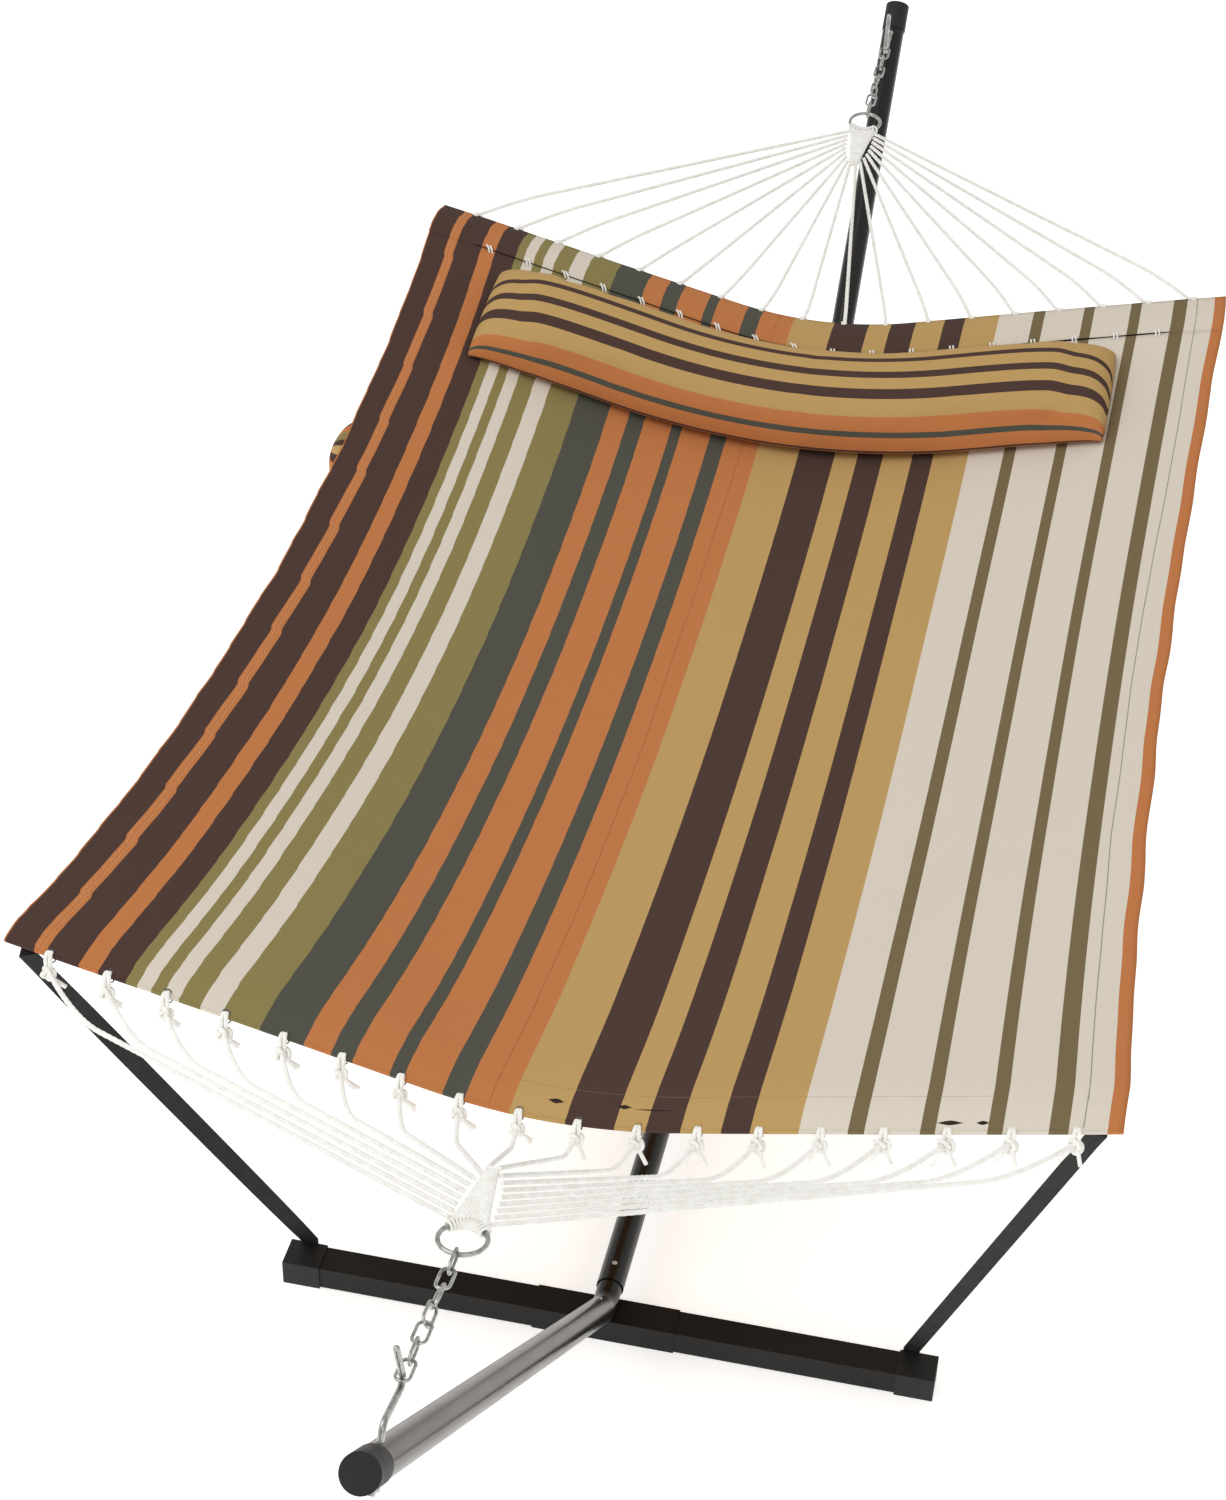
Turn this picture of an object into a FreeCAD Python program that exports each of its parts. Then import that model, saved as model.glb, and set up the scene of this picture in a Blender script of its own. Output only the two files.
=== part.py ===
"""Hammock on a steel tube stand, in millimetres.

+X is to the right of someone standing at the foot end, +Y runs along the hammock to the pillow
(the head end) and +Z is up. The origin is on the floor under the middle. Both ends are the same:
a piece is drawn at the foot end (-Y), and the head end's piece is the same one turned half round.
"""
import FreeCAD, Part
import os
from math import asin, atan2, cos, hypot, pi, radians, sin, tan

import Sketcher
from FreeCAD import Base, Placement, Rotation, Vector

DIMENSIONS = [
    # stand tubes
    ("base_span", 1366, "distance between the two elbow corners, along Y"),
    ("arm_length", 1545, "elbow corner to the arm's outer end"),
    ("arm_angle", 41.2, "slope of the arms, degrees"),
    ("tube_od", 42, "outside of base tube and arms"),
    ("tube_wall", 1.5, "wall of every round tube"),
    ("tube_gap", 0.5, "radial play of the elbow in the tubes"),
    ("elbow_bend", 55, "bend radius of the elbow"),
    ("elbow_reach", 150, "elbow corner to the elbow's ends"),
    ("arm_start", 26, "elbow corner to the arm's lower rim"),
    ("arm_cap_skirt", 50, "length of the cap over the arm's end"),
    ("arm_cap_wall", 1.2, "wall of the arm cap"),
    # crossbars
    ("crossbar_length", 1008, "over both caps"),
    ("crossbar_depth", 46, "box section, along Y"),
    ("crossbar_height", 40, "box section, along Z"),
    ("crossbar_wall", 1.5, "wall of the box section"),
    ("crossbar_inset", 17, "crossbar's middle, inward of the elbow corner"),
    ("foot_cap_length", 58, "length of the plastic cap along the bar"),
    ("foot_cap_wall", 2, "wall of the plastic cap, and how far the bar stands off the floor"),
    ("foot_cap_end", 3, "thickness of the cap's end"),
    ("sleeve_length", 220, "centre sleeve of a crossbar"),
    ("sleeve_wall", 1.3, "wall of the centre sleeve"),
    ("box_gap", 0.2, "play of the bars in sleeve and caps"),
    ("saddle_height", 1, "saddle plate between sleeve and elbow"),
    ("saddle_lip", 3, "saddle's sides, up round the elbow"),
    ("saddle_width", 23, "saddle plate, across the elbow"),
    ("saddle_depth", 16, "saddle plate, along the elbow"),
    ("saddle_gap", 0.05, "play between saddle and elbow"),
    ("screw_diameter", 5, "sleeve screw"),
    ("screw_head", 9, "sleeve screw's head, across"),
    ("screw_head_height", 3, "sleeve screw's head"),
    ("screw_length", 9, "sleeve screw's shank"),
    # snap buttons
    ("button_diameter", 8, "pin of a snap button"),
    ("button_gap", 0.4, "play of the pin in its hole"),
    ("button_height", 3, "how far the pin stands out of the tube"),
    ("button_travel", 4, "how far it can be pressed"),
    ("button_setback", 32, "tube rim to the middle of the pin"),
    ("button_pin", 12, "length of the pin"),
    ("leaf_width", 10, "spring leaf"),
    ("leaf_length", 40, "spring leaf"),
    ("leaf_thickness", 0.8, "spring leaf"),
    # hooks and chains
    ("rod_diameter", 8, "hook rod"),
    ("rod_hole", 8.6, "hole through the arm"),
    ("hook_setback", 70, "arm's outer end to the rod"),
    ("hook_rise", 40, "tube axis to the rod's first bend"),
    ("hook_run", 74, "first bend to the crook"),
    ("hook_drop", 21, "how much lower the crook lies"),
    ("hook_leg", 77, "length of the free leg"),
    ("hook_lean", 16, "lean of the free leg, degrees"),
    ("crook_radius", 9, "bend radius of the crook"),
    ("washer_thickness", 1.6, "washer under the arm"),
    ("washer_diameter", 18, "washer under the arm"),
    ("nut_height", 6.5, "nut under the arm"),
    ("nut_width", 13, "across the nut's flats"),
    ("thread_end", 5, "rod beyond the nut"),
    ("chain_wire", 4, "wire of a link"),
    ("link_inner_length", 32, "opening of a link"),
    ("link_inner_width", 12, "opening of a link"),
    ("link_play", 0.3, "play between links"),
    ("chain_slope", 9.8, "fall of the chain towards the bed, degrees"),
    ("ring_diameter", 62, "outside of the ring"),
    ("ring_wire", 6, "wire of the ring"),
    ("clew_length", 105, "woven clew, ring to tip"),
    ("clew_width", 34, "woven clew at the ring"),
    ("clew_tip", 8, "woven clew at its tip"),
    ("clew_thickness", 12, "woven clew"),
    # bed
    ("bed_length", 2110, "hem to hem"),
    ("bed_width", 1400, "across the hems"),
    ("bed_waist", 17, "how much each side draws in at the middle"),
    ("bed_thickness", 8, "quilted cloth"),
    ("bar_height", 800, "spreader bar's lowest point, middle of the bar"),
    ("bar_bend", 700, "bend radius of the spreader bar"),
    ("bar_slope", 13.2, "slope of the bar's straight ends, degrees"),
    ("bar_diameter", 25, "spreader bar"),
    ("bar_inset", 50, "hem to the bar's middle"),
    ("bar_short", 6, "bar's end inside the sleeve's end"),
    ("bed_sag", 98, "how much lower the middle of the bed hangs than the bar"),
    ("bed_slope", 20.13, "slope of the sides, half way along the bed, degrees"),
    ("bed_bend", 1650, "bend radius half way along the bed"),
    ("seam_inset", 83, "hem to the sleeve's seam"),
    ("seam_gap", 0.4, "between bed and sleeve solids"),
    ("hem_thickness", 5, "flat hem of the sleeve"),
    ("sleeve_cloth", 2.3, "cloth round the bar"),
    ("bar_play", 0.5, "play of the bar in its sleeve"),
    # ropes, eyelets and straps
    ("rope_diameter", 7, "rope"),
    ("rope_pitch", 76.2, "from eyelet to eyelet"),
    ("eyelet_inset", 9, "hem to the eyelet's middle"),
    ("eyelet_bore", 8, "eyelet"),
    ("eyelet_flange", 13, "eyelet"),
    ("eyelet_wall", 0.9, "eyelet"),
    ("knot_diameter", 15, "rope knot at the hem"),
    ("knot_gap", 1, "hem to the knot"),
    ("tail_length", 24, "cut end of the rope, from the knot's middle"),
    ("tail_diameter", 5.6, "cut end of the rope"),
    ("rope_spread", 24, "outermost rope at the clew, from the middle"),
    ("rope_draw", 18.5, "how much nearer the middle the innermost rope is"),
    ("kink_out", 78, "outermost rope's turn, outward of its knot"),
    ("kink_draw", 38, "how much nearer its knot the innermost rope turns"),
    ("kink_share", 0.9, "a rope's turn from the middle, as a share of its knot's"),
    ("kink_rise", 2, "a rope's turn above its knot"),
    ("rope_gap", 0.3, "rope's end to its knot"),
    ("strap_width", 25, "webbing strap"),
    ("strap_thickness", 2, "webbing strap"),
    ("strap_gap", 6.5, "strap's end under the hem's lower face"),
    ("strap_edge", 10, "bed's side to the strap's edge"),
    ("strap_out", 15, "hem to the strap's upper end"),
    ("strap_clear", 0.2, "strap behind the foot cap"),
    ("strap_inset", 23, "outer end of the foot cap to the strap's edge"),
    ("strap_shift", -6, "all straps, along X"),
    ("strap_free", 72, "height of the strap's cut above its tab's root"),
    ("tab_length", 24, "tab above the cap"),
    ("tab_drop", 31, "tab below its root, behind the cap"),
    ("rivet_drop", 18.6, "rivet below the tab's root"),
    ("rivet_diameter", 6, "rivet of the tab"),
    ("rivet_head", 1.5, "thickness of the rivet's head"),
    ("rivet_gap", 0.1, "play of the rivet in the tab"),
    # soft pieces
    ("pillow_length", 1105, "pillow"),
    ("pillow_depth", 230, "pillow"),
    ("pillow_thickness", 88, "pillow"),
    ("pillow_place", 782, "middle of the pillow, along Y"),
    ("pillow_shift", -15, "middle of the pillow, along X"),
    ("pillow_gap", 5, "pillow above the bed"),
    ("pouch_width", 88, "side pouch, across"),
    ("pouch_length", 180, "side pouch, along Y"),
    ("pouch_out", 33, "pouch, beyond the bed's hem corners"),
    ("pouch_place", 430, "middle of the pouch, along Y"),
    ("pouch_seam", 1, "pouch's hanger, sewn into the bed"),
    ("pouch_round", 35, "fillet of the pouch's ends"),
    ("hanger_thickness", 4, "pouch's hanger"),
    ("hanger_length", 72, "pouch's hanger, along Y"),
    ("hanger_height", 12, "pouch's top below the bed"),
    ("hanger_offset", 10, "hanger's middle, inward of the pouch's"),
]
ROPES = 18
LINK_TURNS = (0, 90, 180, 240, 300, 360, 450)
ENDS = {"foot": 0, "head": 180}
SIDES = {"left": -1, "right": 1}

doc = FreeCAD.newDocument("hammock")
dims = doc.addObject("Spreadsheet::Sheet", "Dims")
for row, (alias, value, note) in enumerate(DIMENSIONS, start=1):
    dims.set(f"A{row}", alias)
    dims.set(f"B{row}", str(value))
    dims.set(f"C{row}", note)
    dims.setAlias(f"B{row}", alias)
doc.recompute()


class Sizes:
    """The sheet's cells as plain numbers, by alias."""

    def __getattr__(self, alias):
        return float(getattr(dims, alias))


D = Sizes()
SUBPARTS = []


def keep(piece, node):
    """Name a finished sub-part."""
    piece.Label = node
    SUBPARTS.append(piece)
    return piece


def from_shape(node, shape, turn=0):
    """A sub-part whose shape is set directly, turned about Z for the head end."""
    piece = doc.addObject("Part::Feature", node)
    piece.Shape = shape
    piece.Placement = turned(shape.Placement, turn)
    return keep(piece, node)


def bound(kind, name, place=None, **sizes):
    """A Part primitive whose sizes are expressions of the sheet."""
    piece = doc.addObject(kind, name)
    for size, expression in sizes.items():
        piece.setExpression(size, expression)
    if place:
        piece.Placement = place
    return piece


def cut(name, base, *tools):
    """Base minus every tool, as one Part::Cut."""
    tool = tools[0]
    if len(tools) > 1:
        tool = doc.addObject("Part::MultiFuse", name + "_tools")
        tool.Shapes = list(tools)
    piece = doc.addObject("Part::Cut", name)
    piece.Base = base
    piece.Tool = tool
    return piece


def along(origin, direction, cross=Vector(1, 0, 0)):
    """Placement with local Z along direction and local X as near to cross as it can be."""
    z = Vector(direction).normalize()
    x = (cross - z * cross.dot(z)).normalize()
    y = z.cross(x)
    matrix = Base.Matrix(
        x.x, y.x, z.x, origin.x,
        x.y, y.y, z.y, origin.y,
        x.z, y.z, z.z, origin.z,
        0, 0, 0, 1,
    )
    return Placement(matrix)


def turned(place, turn):
    """A placement turned about the world's Z."""
    return Placement(Vector(), Rotation(Vector(0, 0, 1), turn)).multiply(place)


# Paths ---------------------------------------------------------------------------------------


def bent_path(points, radii):
    """Straight runs joined by tangent arcs; radii has one value for each inner point."""
    edges = []
    start = points[0]
    for before, corner, after, radius in zip(points, points[1:], points[2:], radii):
        back = (before - corner).normalize()
        on = (after - corner).normalize()
        half_turn = (radians(180) - back.getAngle(on)) / 2
        tangent = radius * tan(half_turn)
        first = corner + back * tangent
        last = corner + on * tangent
        to_centre = (back + on).normalize()
        middle = corner + to_centre * (radius / cos(half_turn) - radius)
        edges.append(Part.LineSegment(start, first).toShape())
        edges.append(Part.Arc(first, middle, last).toShape())
        start = last
    edges.append(Part.LineSegment(start, points[-1]).toShape())
    return Part.Wire(edges)


def sweep(path, profile):
    """A solid: a closed profile swept along a path."""
    return path.makePipeShell([Part.Wire(profile)], True, False)


def rod(path, diameter):
    """A round rod along a path."""
    first = path.Edges[0]
    start = first.valueAt(first.FirstParameter)
    direction = first.tangentAt(first.FirstParameter)
    return sweep(path, [Part.Circle(start, direction, diameter / 2).toShape()])


def rope_radius(before, corner, after):
    """Radius of a rope's arc: 0.45 of the shorter run, over the tangent of half the turn."""
    run = min((corner - before).Length, (after - corner).Length)
    half_turn = (corner - before).getAngle(after - corner) / 2
    return 0.45 * run / tan(half_turn)


# Stand: places shared by its pieces ----------------------------------------------------------

sleeve_outer_height = D.crossbar_height + 2 * (D.box_gap + D.sleeve_wall)
sleeve_outer_depth = D.crossbar_depth + 2 * (D.box_gap + D.sleeve_wall)
cap_outer_height = D.crossbar_height + 2 * (D.box_gap + D.foot_cap_wall)
cap_outer_depth = D.crossbar_depth + 2 * (D.box_gap + D.foot_cap_wall)
bar_middle = cap_outer_height / 2
sleeve_top = bar_middle + sleeve_outer_height / 2
elbow_od = D.tube_od - 2 * (D.tube_wall + D.tube_gap)
base_axis = sleeve_top + D.saddle_height + elbow_od / 2
crossbar_y = -(D.base_span / 2 - D.crossbar_inset)
base_half = -crossbar_y - sleeve_outer_depth / 2 - 1
slope = radians(D.arm_angle)
corner = Vector(0, -D.base_span / 2, base_axis)
arm_way = Vector(0, -cos(slope), sin(slope))
arm_up = Vector(0, sin(slope), cos(slope))


def make_base_tube():
    """The straight tube on the floor side, with a button hole near each end."""
    way = Vector(0, 1, 0)
    place = along(Vector(0, -base_half, base_axis), way)
    outer = bound("Part::Cylinder", "base_outer", place, Radius="Dims.tube_od / 2")
    inner = bound(
        "Part::Cylinder", "base_inner", place, Radius="Dims.tube_od / 2 - Dims.tube_wall"
    )
    outer.Height = inner.Height = 2 * base_half
    holes = []
    for sign in (-1, 1):
        spot = Vector(0, sign * (base_half - D.button_setback), base_axis)
        holes.append(button_hole(f"base_hole_{len(holes)}", spot, Vector(0, 0, 1)))
    keep(cut("base_tube", outer, inner, *holes), "base_tube")


def button_hole(name, spot, up):
    """Drill for a snap button's hole, from the tube's axis outwards."""
    return bound(
        "Part::Cylinder", name, along(spot, up),
        Radius="Dims.button_diameter / 2 + Dims.button_gap", Height="Dims.tube_od",
    )


def make_arm(end, turn):
    """Sloping tube with holes for its button and its hook."""
    place = turned(along(corner + arm_way * D.arm_start, arm_way), turn)
    outer = bound(
        "Part::Cylinder", end + "_arm_outer", place,
        Radius="Dims.tube_od / 2", Height="Dims.arm_length - Dims.arm_start",
    )
    inner = bound(
        "Part::Cylinder", end + "_arm_inner", place,
        Radius="Dims.tube_od / 2 - Dims.tube_wall", Height="Dims.arm_length - Dims.arm_start",
    )
    spot = corner + arm_way * (D.arm_start + D.button_setback)
    hole = button_hole(end + "_arm_hole", spot, arm_up)
    hole.Placement = turned(hole.Placement, turn)
    drill_foot = hook_base() - arm_up * D.tube_od
    hook_hole = bound(
        "Part::Cylinder", end + "_hook_hole", turned(along(drill_foot, arm_up), turn),
        Radius="Dims.rod_hole / 2", Height="2 * Dims.tube_od",
    )
    keep(cut(end + "_arm", outer, inner, hole, hook_hole), end + "_arm")


def make_arm_cap(end, turn):
    """Plastic cup over the arm's outer end."""
    tip = corner + arm_way * D.arm_length
    place = turned(along(tip - arm_way * D.arm_cap_skirt, arm_way), turn)
    cup = bound(
        "Part::Cylinder", end + "_cap_cup", place,
        Radius="Dims.tube_od / 2 + 0.1 + Dims.arm_cap_wall",
        Height="Dims.arm_cap_skirt + 2 * Dims.arm_cap_wall",
    )
    room = bound(
        "Part::Cylinder", end + "_cap_room", place,
        Radius="Dims.tube_od / 2 + 0.1", Height="Dims.arm_cap_skirt + 0.1",
    )
    keep(cut(end + "_arm_cap", cup, room), end + "_arm_cap")


def make_elbow(end, turn):
    """Bent tube that slides into the base tube and the arm, with two button holes."""
    level = Vector(0, 1, 0)
    points = [corner + level * D.elbow_reach, corner, corner + arm_way * D.elbow_reach]
    path = bent_path(points, [D.elbow_bend])
    shape = rod(path, elbow_od).cut(rod(path, elbow_od - 2 * D.tube_wall))
    for spot, up in button_spots():
        place = along(spot, up)
        drill = Part.makeCylinder(D.button_diameter / 2 + D.button_gap, D.tube_od)
        drill.Placement = place
        shape = shape.cut(drill)
    from_shape(end + "_elbow", shape.Solids[0], turn)


def button_spots():
    """Axis point and outward way of the foot end's two buttons: base tube's, then arm's."""
    base_spot = Vector(0, -(base_half - D.button_setback), base_axis)
    arm_spot = corner + arm_way * (D.arm_start + D.button_setback)
    return [(base_spot, Vector(0, 0, 1)), (arm_spot, arm_up)]


def make_buttons(end, turn):
    """Domed pin on a leaf; it slides inwards through the tube's hole."""
    for which, (spot, up) in zip(("base", "arm"), button_spots()):
        top = D.tube_od / 2 + D.button_height
        dome = D.button_diameter / 2
        pin = Part.makeCylinder(dome, D.button_pin - dome, Vector(0, 0, top - D.button_pin))
        head = Part.makeSphere(dome, Vector(0, 0, top - dome))
        leaf = Part.makeBox(
            D.leaf_width, D.leaf_length, D.leaf_thickness,
            Vector(-D.leaf_width / 2, -D.leaf_length / 2, top - D.button_pin - D.leaf_thickness),
        )
        shape = pin.fuse(head).fuse(leaf).removeSplitter()
        shape.Placement = along(spot, up)
        from_shape(f"{end}_{which}_button", shape.Solids[0], turn)


def leaf_spring():
    """Fixed leg and bend of a button's spring, in the button's own frame (Z outwards)."""
    bore = elbow_od / 2 - D.tube_wall
    flat = (bore * bore - (D.leaf_width / 2) ** 2) ** 0.5 - 0.3 - D.leaf_thickness
    moving_low = D.tube_od / 2 + D.button_height - D.button_pin - D.leaf_thickness
    high = moving_low - D.button_travel - 0.7 - D.leaf_thickness
    radius = (high + flat) / 2
    middle = high - radius
    reach = D.leaf_length / 2
    legs = Part.Wire([
        Part.LineSegment(Vector(0, reach, -flat), Vector(0, -reach, -flat)).toShape(),
        Part.Arc(
            Vector(0, -reach, -flat), Vector(0, -reach - radius, middle), Vector(0, -reach, high)
        ).toShape(),
    ])
    half = D.leaf_width / 2
    low = -flat - D.leaf_thickness / 2
    corners = [
        Vector(-half, reach, low), Vector(half, reach, low),
        Vector(half, reach, low + D.leaf_thickness), Vector(-half, reach, low + D.leaf_thickness),
    ]
    return sweep(legs, Part.makePolygon(corners + corners[:1]).Edges)


def make_button_springs():
    """The four leaf springs inside the elbows."""
    springs = []
    for turn in ENDS.values():
        for spot, up in button_spots():
            spring = leaf_spring()
            spring.Placement = turned(along(spot, up), turn)
            springs.append(spring)
    from_shape("button_springs", Part.makeCompound(springs))


# Crossbars -----------------------------------------------------------------------------------


def box_sketch(body, name, depth, height):
    """A rectangle centred on the body's YZ plane, with both sides bound to the sheet."""
    sketch = body.newObject("Sketcher::SketchObject", name)
    plane = [f for f in body.Origin.OriginFeatures if f.Role == "YZ_Plane"][0]
    sketch.AttachmentSupport = [(plane, "")]
    sketch.MapMode = "FlatFace"
    a, b = 10, 10
    points = [Vector(-a, -b), Vector(a, -b), Vector(a, b), Vector(-a, b)]
    for i in range(4):
        sketch.addGeometry(Part.LineSegment(points[i], points[(i + 1) % 4]))
    for i in range(4):
        sketch.addConstraint(Sketcher.Constraint("Coincident", i, 2, (i + 1) % 4, 1))
    for i, kind in enumerate(("Horizontal", "Vertical", "Horizontal", "Vertical")):
        sketch.addConstraint(Sketcher.Constraint(kind, i))
    sketch.addConstraint(Sketcher.Constraint("Symmetric", 0, 1, 2, 1, -1, 1))
    wide = sketch.addConstraint(Sketcher.Constraint("DistanceX", 0, 1, 0, 2, 2 * a))
    tall = sketch.addConstraint(Sketcher.Constraint("DistanceY", 1, 1, 1, 2, 2 * b))
    sketch.setExpression(f"Constraints[{wide}]", depth)
    sketch.setExpression(f"Constraints[{tall}]", height)
    return sketch


def box_body(name, outer, inner, length, room=None):
    """A PartDesign body along +X: a padded rectangle with a pocket of another rectangle."""
    body = doc.addObject("PartDesign::Body", name)
    pad = body.newObject("PartDesign::Pad", name + "_pad")
    pad.Profile = box_sketch(body, name + "_outside", *outer)
    pad.setExpression("Length", length)
    doc.recompute()
    pocket = body.newObject("PartDesign::Pocket", name + "_pocket")
    pocket.Profile = box_sketch(body, name + "_inside", *inner)
    pocket.Reversed = True
    pocket.setExpression("Length", room or length)
    body.Tip = pocket
    doc.recompute()
    if pocket.Shape.Volume >= pad.Shape.Volume:
        raise RuntimeError(name + ": the pocket cut nothing")
    return body


def drilled(body, node, spots):
    """A body with screw holes drilled along Y."""
    drills = []
    for x, y in spots:
        place = along(Vector(x, y - 5, bar_middle), Vector(0, 1, 0))
        drills.append(bound(
            "Part::Cylinder", f"{node}_drill_{len(drills)}", place,
            Radius="Dims.screw_diameter / 2 + 0.2", Height="10",
        ))
    return keep(cut(node, body, *drills), node)


def make_crossbar(end, turn):
    """Two box halves in a centre sleeve, a plastic cap on each end, and the saddle."""
    sign = -1 if end == "foot" else 1
    y = crossbar_y * -sign
    inner_side = -sign
    screw_y = y + inner_side * D.crossbar_depth / 2
    for side, way in SIDES.items():
        name = f"{end}_crossbar_{side}"
        body = box_body(
            name + "_body",
            ("Dims.crossbar_depth", "Dims.crossbar_height"),
            (
                "Dims.crossbar_depth - 2 * Dims.crossbar_wall",
                "Dims.crossbar_height - 2 * Dims.crossbar_wall",
            ),
            "Dims.crossbar_length / 2 - Dims.foot_cap_end - Dims.box_gap - 0.5",
        )
        flip = Rotation(Vector(0, 0, 1), 0 if way > 0 else 180)
        body.Placement = Placement(Vector(0.5 * way, y, bar_middle), flip)
        drilled(body, name, [(way * D.sleeve_length / 4, screw_y)])
        make_crossbar_cap(f"{end}_{side}_foot_cap", way, y)
    sleeve = box_body(
        end + "_sleeve_body",
        (
            "Dims.crossbar_depth + 2 * (Dims.box_gap + Dims.sleeve_wall)",
            "Dims.crossbar_height + 2 * (Dims.box_gap + Dims.sleeve_wall)",
        ),
        (
            "Dims.crossbar_depth + 2 * Dims.box_gap",
            "Dims.crossbar_height + 2 * Dims.box_gap",
        ),
        "Dims.sleeve_length",
    )
    sleeve.Placement = Placement(Vector(-D.sleeve_length / 2, y, bar_middle), Rotation())
    spots = [(way * D.sleeve_length / 4, screw_y) for way in SIDES.values()]
    drilled(sleeve, end + "_crossbar_sleeve", spots)
    make_saddle(end, y)


def make_crossbar_cap(node, way, y):
    """Plastic foot cap: a box with one end shut, its edges rounded."""
    body = box_body(
        node,
        (
            "Dims.crossbar_depth + 2 * (Dims.box_gap + Dims.foot_cap_wall)",
            "Dims.crossbar_height + 2 * (Dims.box_gap + Dims.foot_cap_wall)",
        ),
        (
            "Dims.crossbar_depth + 2 * Dims.box_gap",
            "Dims.crossbar_height + 2 * Dims.box_gap",
        ),
        "Dims.foot_cap_length",
        "Dims.foot_cap_length - Dims.foot_cap_end",
    )
    x = way * (D.crossbar_length / 2 - D.foot_cap_length)
    body.Placement = Placement(
        Vector(x, y, bar_middle), Rotation(Vector(0, 0, 1), 0 if way > 0 else 180)
    )
    keep(body, node)


def make_saddle(end, y):
    """Plate with a hollow top that carries the elbow on the sleeve."""
    corner = Vector(-D.saddle_width / 2, y - D.saddle_depth / 2, sleeve_top)
    block = bound(
        "Part::Box", end + "_saddle_block", Placement(corner, Rotation()),
        Length="Dims.saddle_width", Width="Dims.saddle_depth",
        Height="Dims.saddle_height + Dims.saddle_lip",
    )
    place = along(Vector(0, y - D.crossbar_depth, base_axis), Vector(0, 1, 0))
    hollow = bound("Part::Cylinder", end + "_saddle_hollow", place, Height="2 * Dims.crossbar_depth")
    hollow.Radius = elbow_od / 2 + D.saddle_gap
    keep(cut(end + "_saddle", block, hollow), end + "_saddle")


def make_sleeve_screws():
    """Pan-head screws on the inner face of each sleeve, one in each bar half."""
    screws = []
    for sign in (-1, 1):
        face = sign * (-crossbar_y - sleeve_outer_depth / 2)
        for way in SIDES.values():
            inward = Vector(0, -sign, 0)
            at = Vector(way * D.sleeve_length / 4, face, bar_middle)
            head = Part.makeCylinder(D.screw_head / 2, D.screw_head_height, at, inward)
            shank = Part.makeCylinder(D.screw_diameter / 2, D.screw_length, at, inward * -1)
            screws.append(head.fuse(shank).removeSplitter().Solids[0])
    from_shape("sleeve_screws", Part.makeCompound(screws))


# Hooks and chains ----------------------------------------------------------------------------


def hook_base():
    """Where the rod crosses the arm's axis."""
    return corner + arm_way * (D.arm_length - D.hook_setback)


def crook_corner():
    """Corner of the rod's centre line at the crook."""
    return hook_base() + arm_up * D.hook_rise + Vector(0, D.hook_run, -D.hook_drop)


def crook_seat():
    """Middle of the first link's end wire, seated in the crook; the hammock swings about it."""
    lean = radians(D.hook_lean)
    up_leg = Vector(0, -sin(lean), cos(lean))
    back_run = (hook_base() + arm_up * D.hook_rise - crook_corner()).normalize()
    half_open = back_run.getAngle(up_leg) / 2
    centre = crook_corner() + (back_run + up_leg).normalize() * (D.crook_radius / sin(half_open))
    room = D.crook_radius - D.rod_diameter / 2 - D.chain_wire / 2 - 0.6
    return centre + chain_way() * room


def chain_way():
    """Way from the hook to the ring."""
    fall = radians(D.chain_slope)
    return Vector(0, cos(fall), -sin(fall))


def make_hook(end, turn):
    """Threaded through the arm, bent level, then up to a round-ended free leg."""
    lean = radians(D.hook_lean)
    below = D.tube_od / 2 + D.washer_thickness + D.nut_height + D.thread_end
    tip = crook_corner() + Vector(0, -sin(lean), cos(lean)) * D.hook_leg
    points = [
        hook_base() - arm_up * below,
        hook_base() + arm_up * D.hook_rise,
        crook_corner(),
        tip,
    ]
    shape = rod(bent_path(points, [1.4 * D.rod_diameter, D.crook_radius]), D.rod_diameter)
    shape = shape.fuse(Part.makeSphere(D.rod_diameter / 2, tip)).removeSplitter()
    from_shape(end + "_hook", shape.Solids[0], turn)


def make_hook_nut(end, turn):
    """Washer and nut under the arm."""
    start = D.tube_od / 2 + 0.2
    bore = D.rod_diameter / 2 + 0.05
    washer = Part.makeCylinder(D.washer_diameter / 2, D.washer_thickness, Vector(0, 0, start))
    washer = washer.cut(Part.makeCylinder(bore, 4 * D.tube_od, Vector(0, 0, 0)))
    radius = D.nut_width / 2 / cos(radians(30))
    level = start + D.washer_thickness
    ring = [
        Vector(radius * cos(radians(60 * i)), radius * sin(radians(60 * i)), level)
        for i in range(7)
    ]
    nut = Part.Face(Part.makePolygon(ring)).extrude(Vector(0, 0, D.nut_height))
    nut = nut.cut(Part.makeCylinder(bore, 4 * D.tube_od, Vector(0, 0, 0)))
    pair = Part.makeCompound([washer.Solids[0], nut.Solids[0]])
    pair.Placement = along(hook_base(), arm_up * -1)
    from_shape(end + "_hook_nut", pair, turn)


def link():
    """One welded link, its length along local Z and its width along local X."""
    half = D.link_inner_length / 2 - D.link_inner_width / 2
    bend = (D.link_inner_width + D.chain_wire) / 2
    path = Part.Wire([
        Part.LineSegment(Vector(bend, 0, -half), Vector(bend, 0, half)).toShape(),
        Part.Arc(Vector(bend, 0, half), Vector(0, 0, half + bend), Vector(-bend, 0, half)).toShape(),
        Part.LineSegment(Vector(-bend, 0, half), Vector(-bend, 0, -half)).toShape(),
        Part.Arc(
            Vector(-bend, 0, -half), Vector(0, 0, -half - bend), Vector(bend, 0, -half)
        ).toShape(),
    ])
    return rod(path, D.chain_wire)


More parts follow.
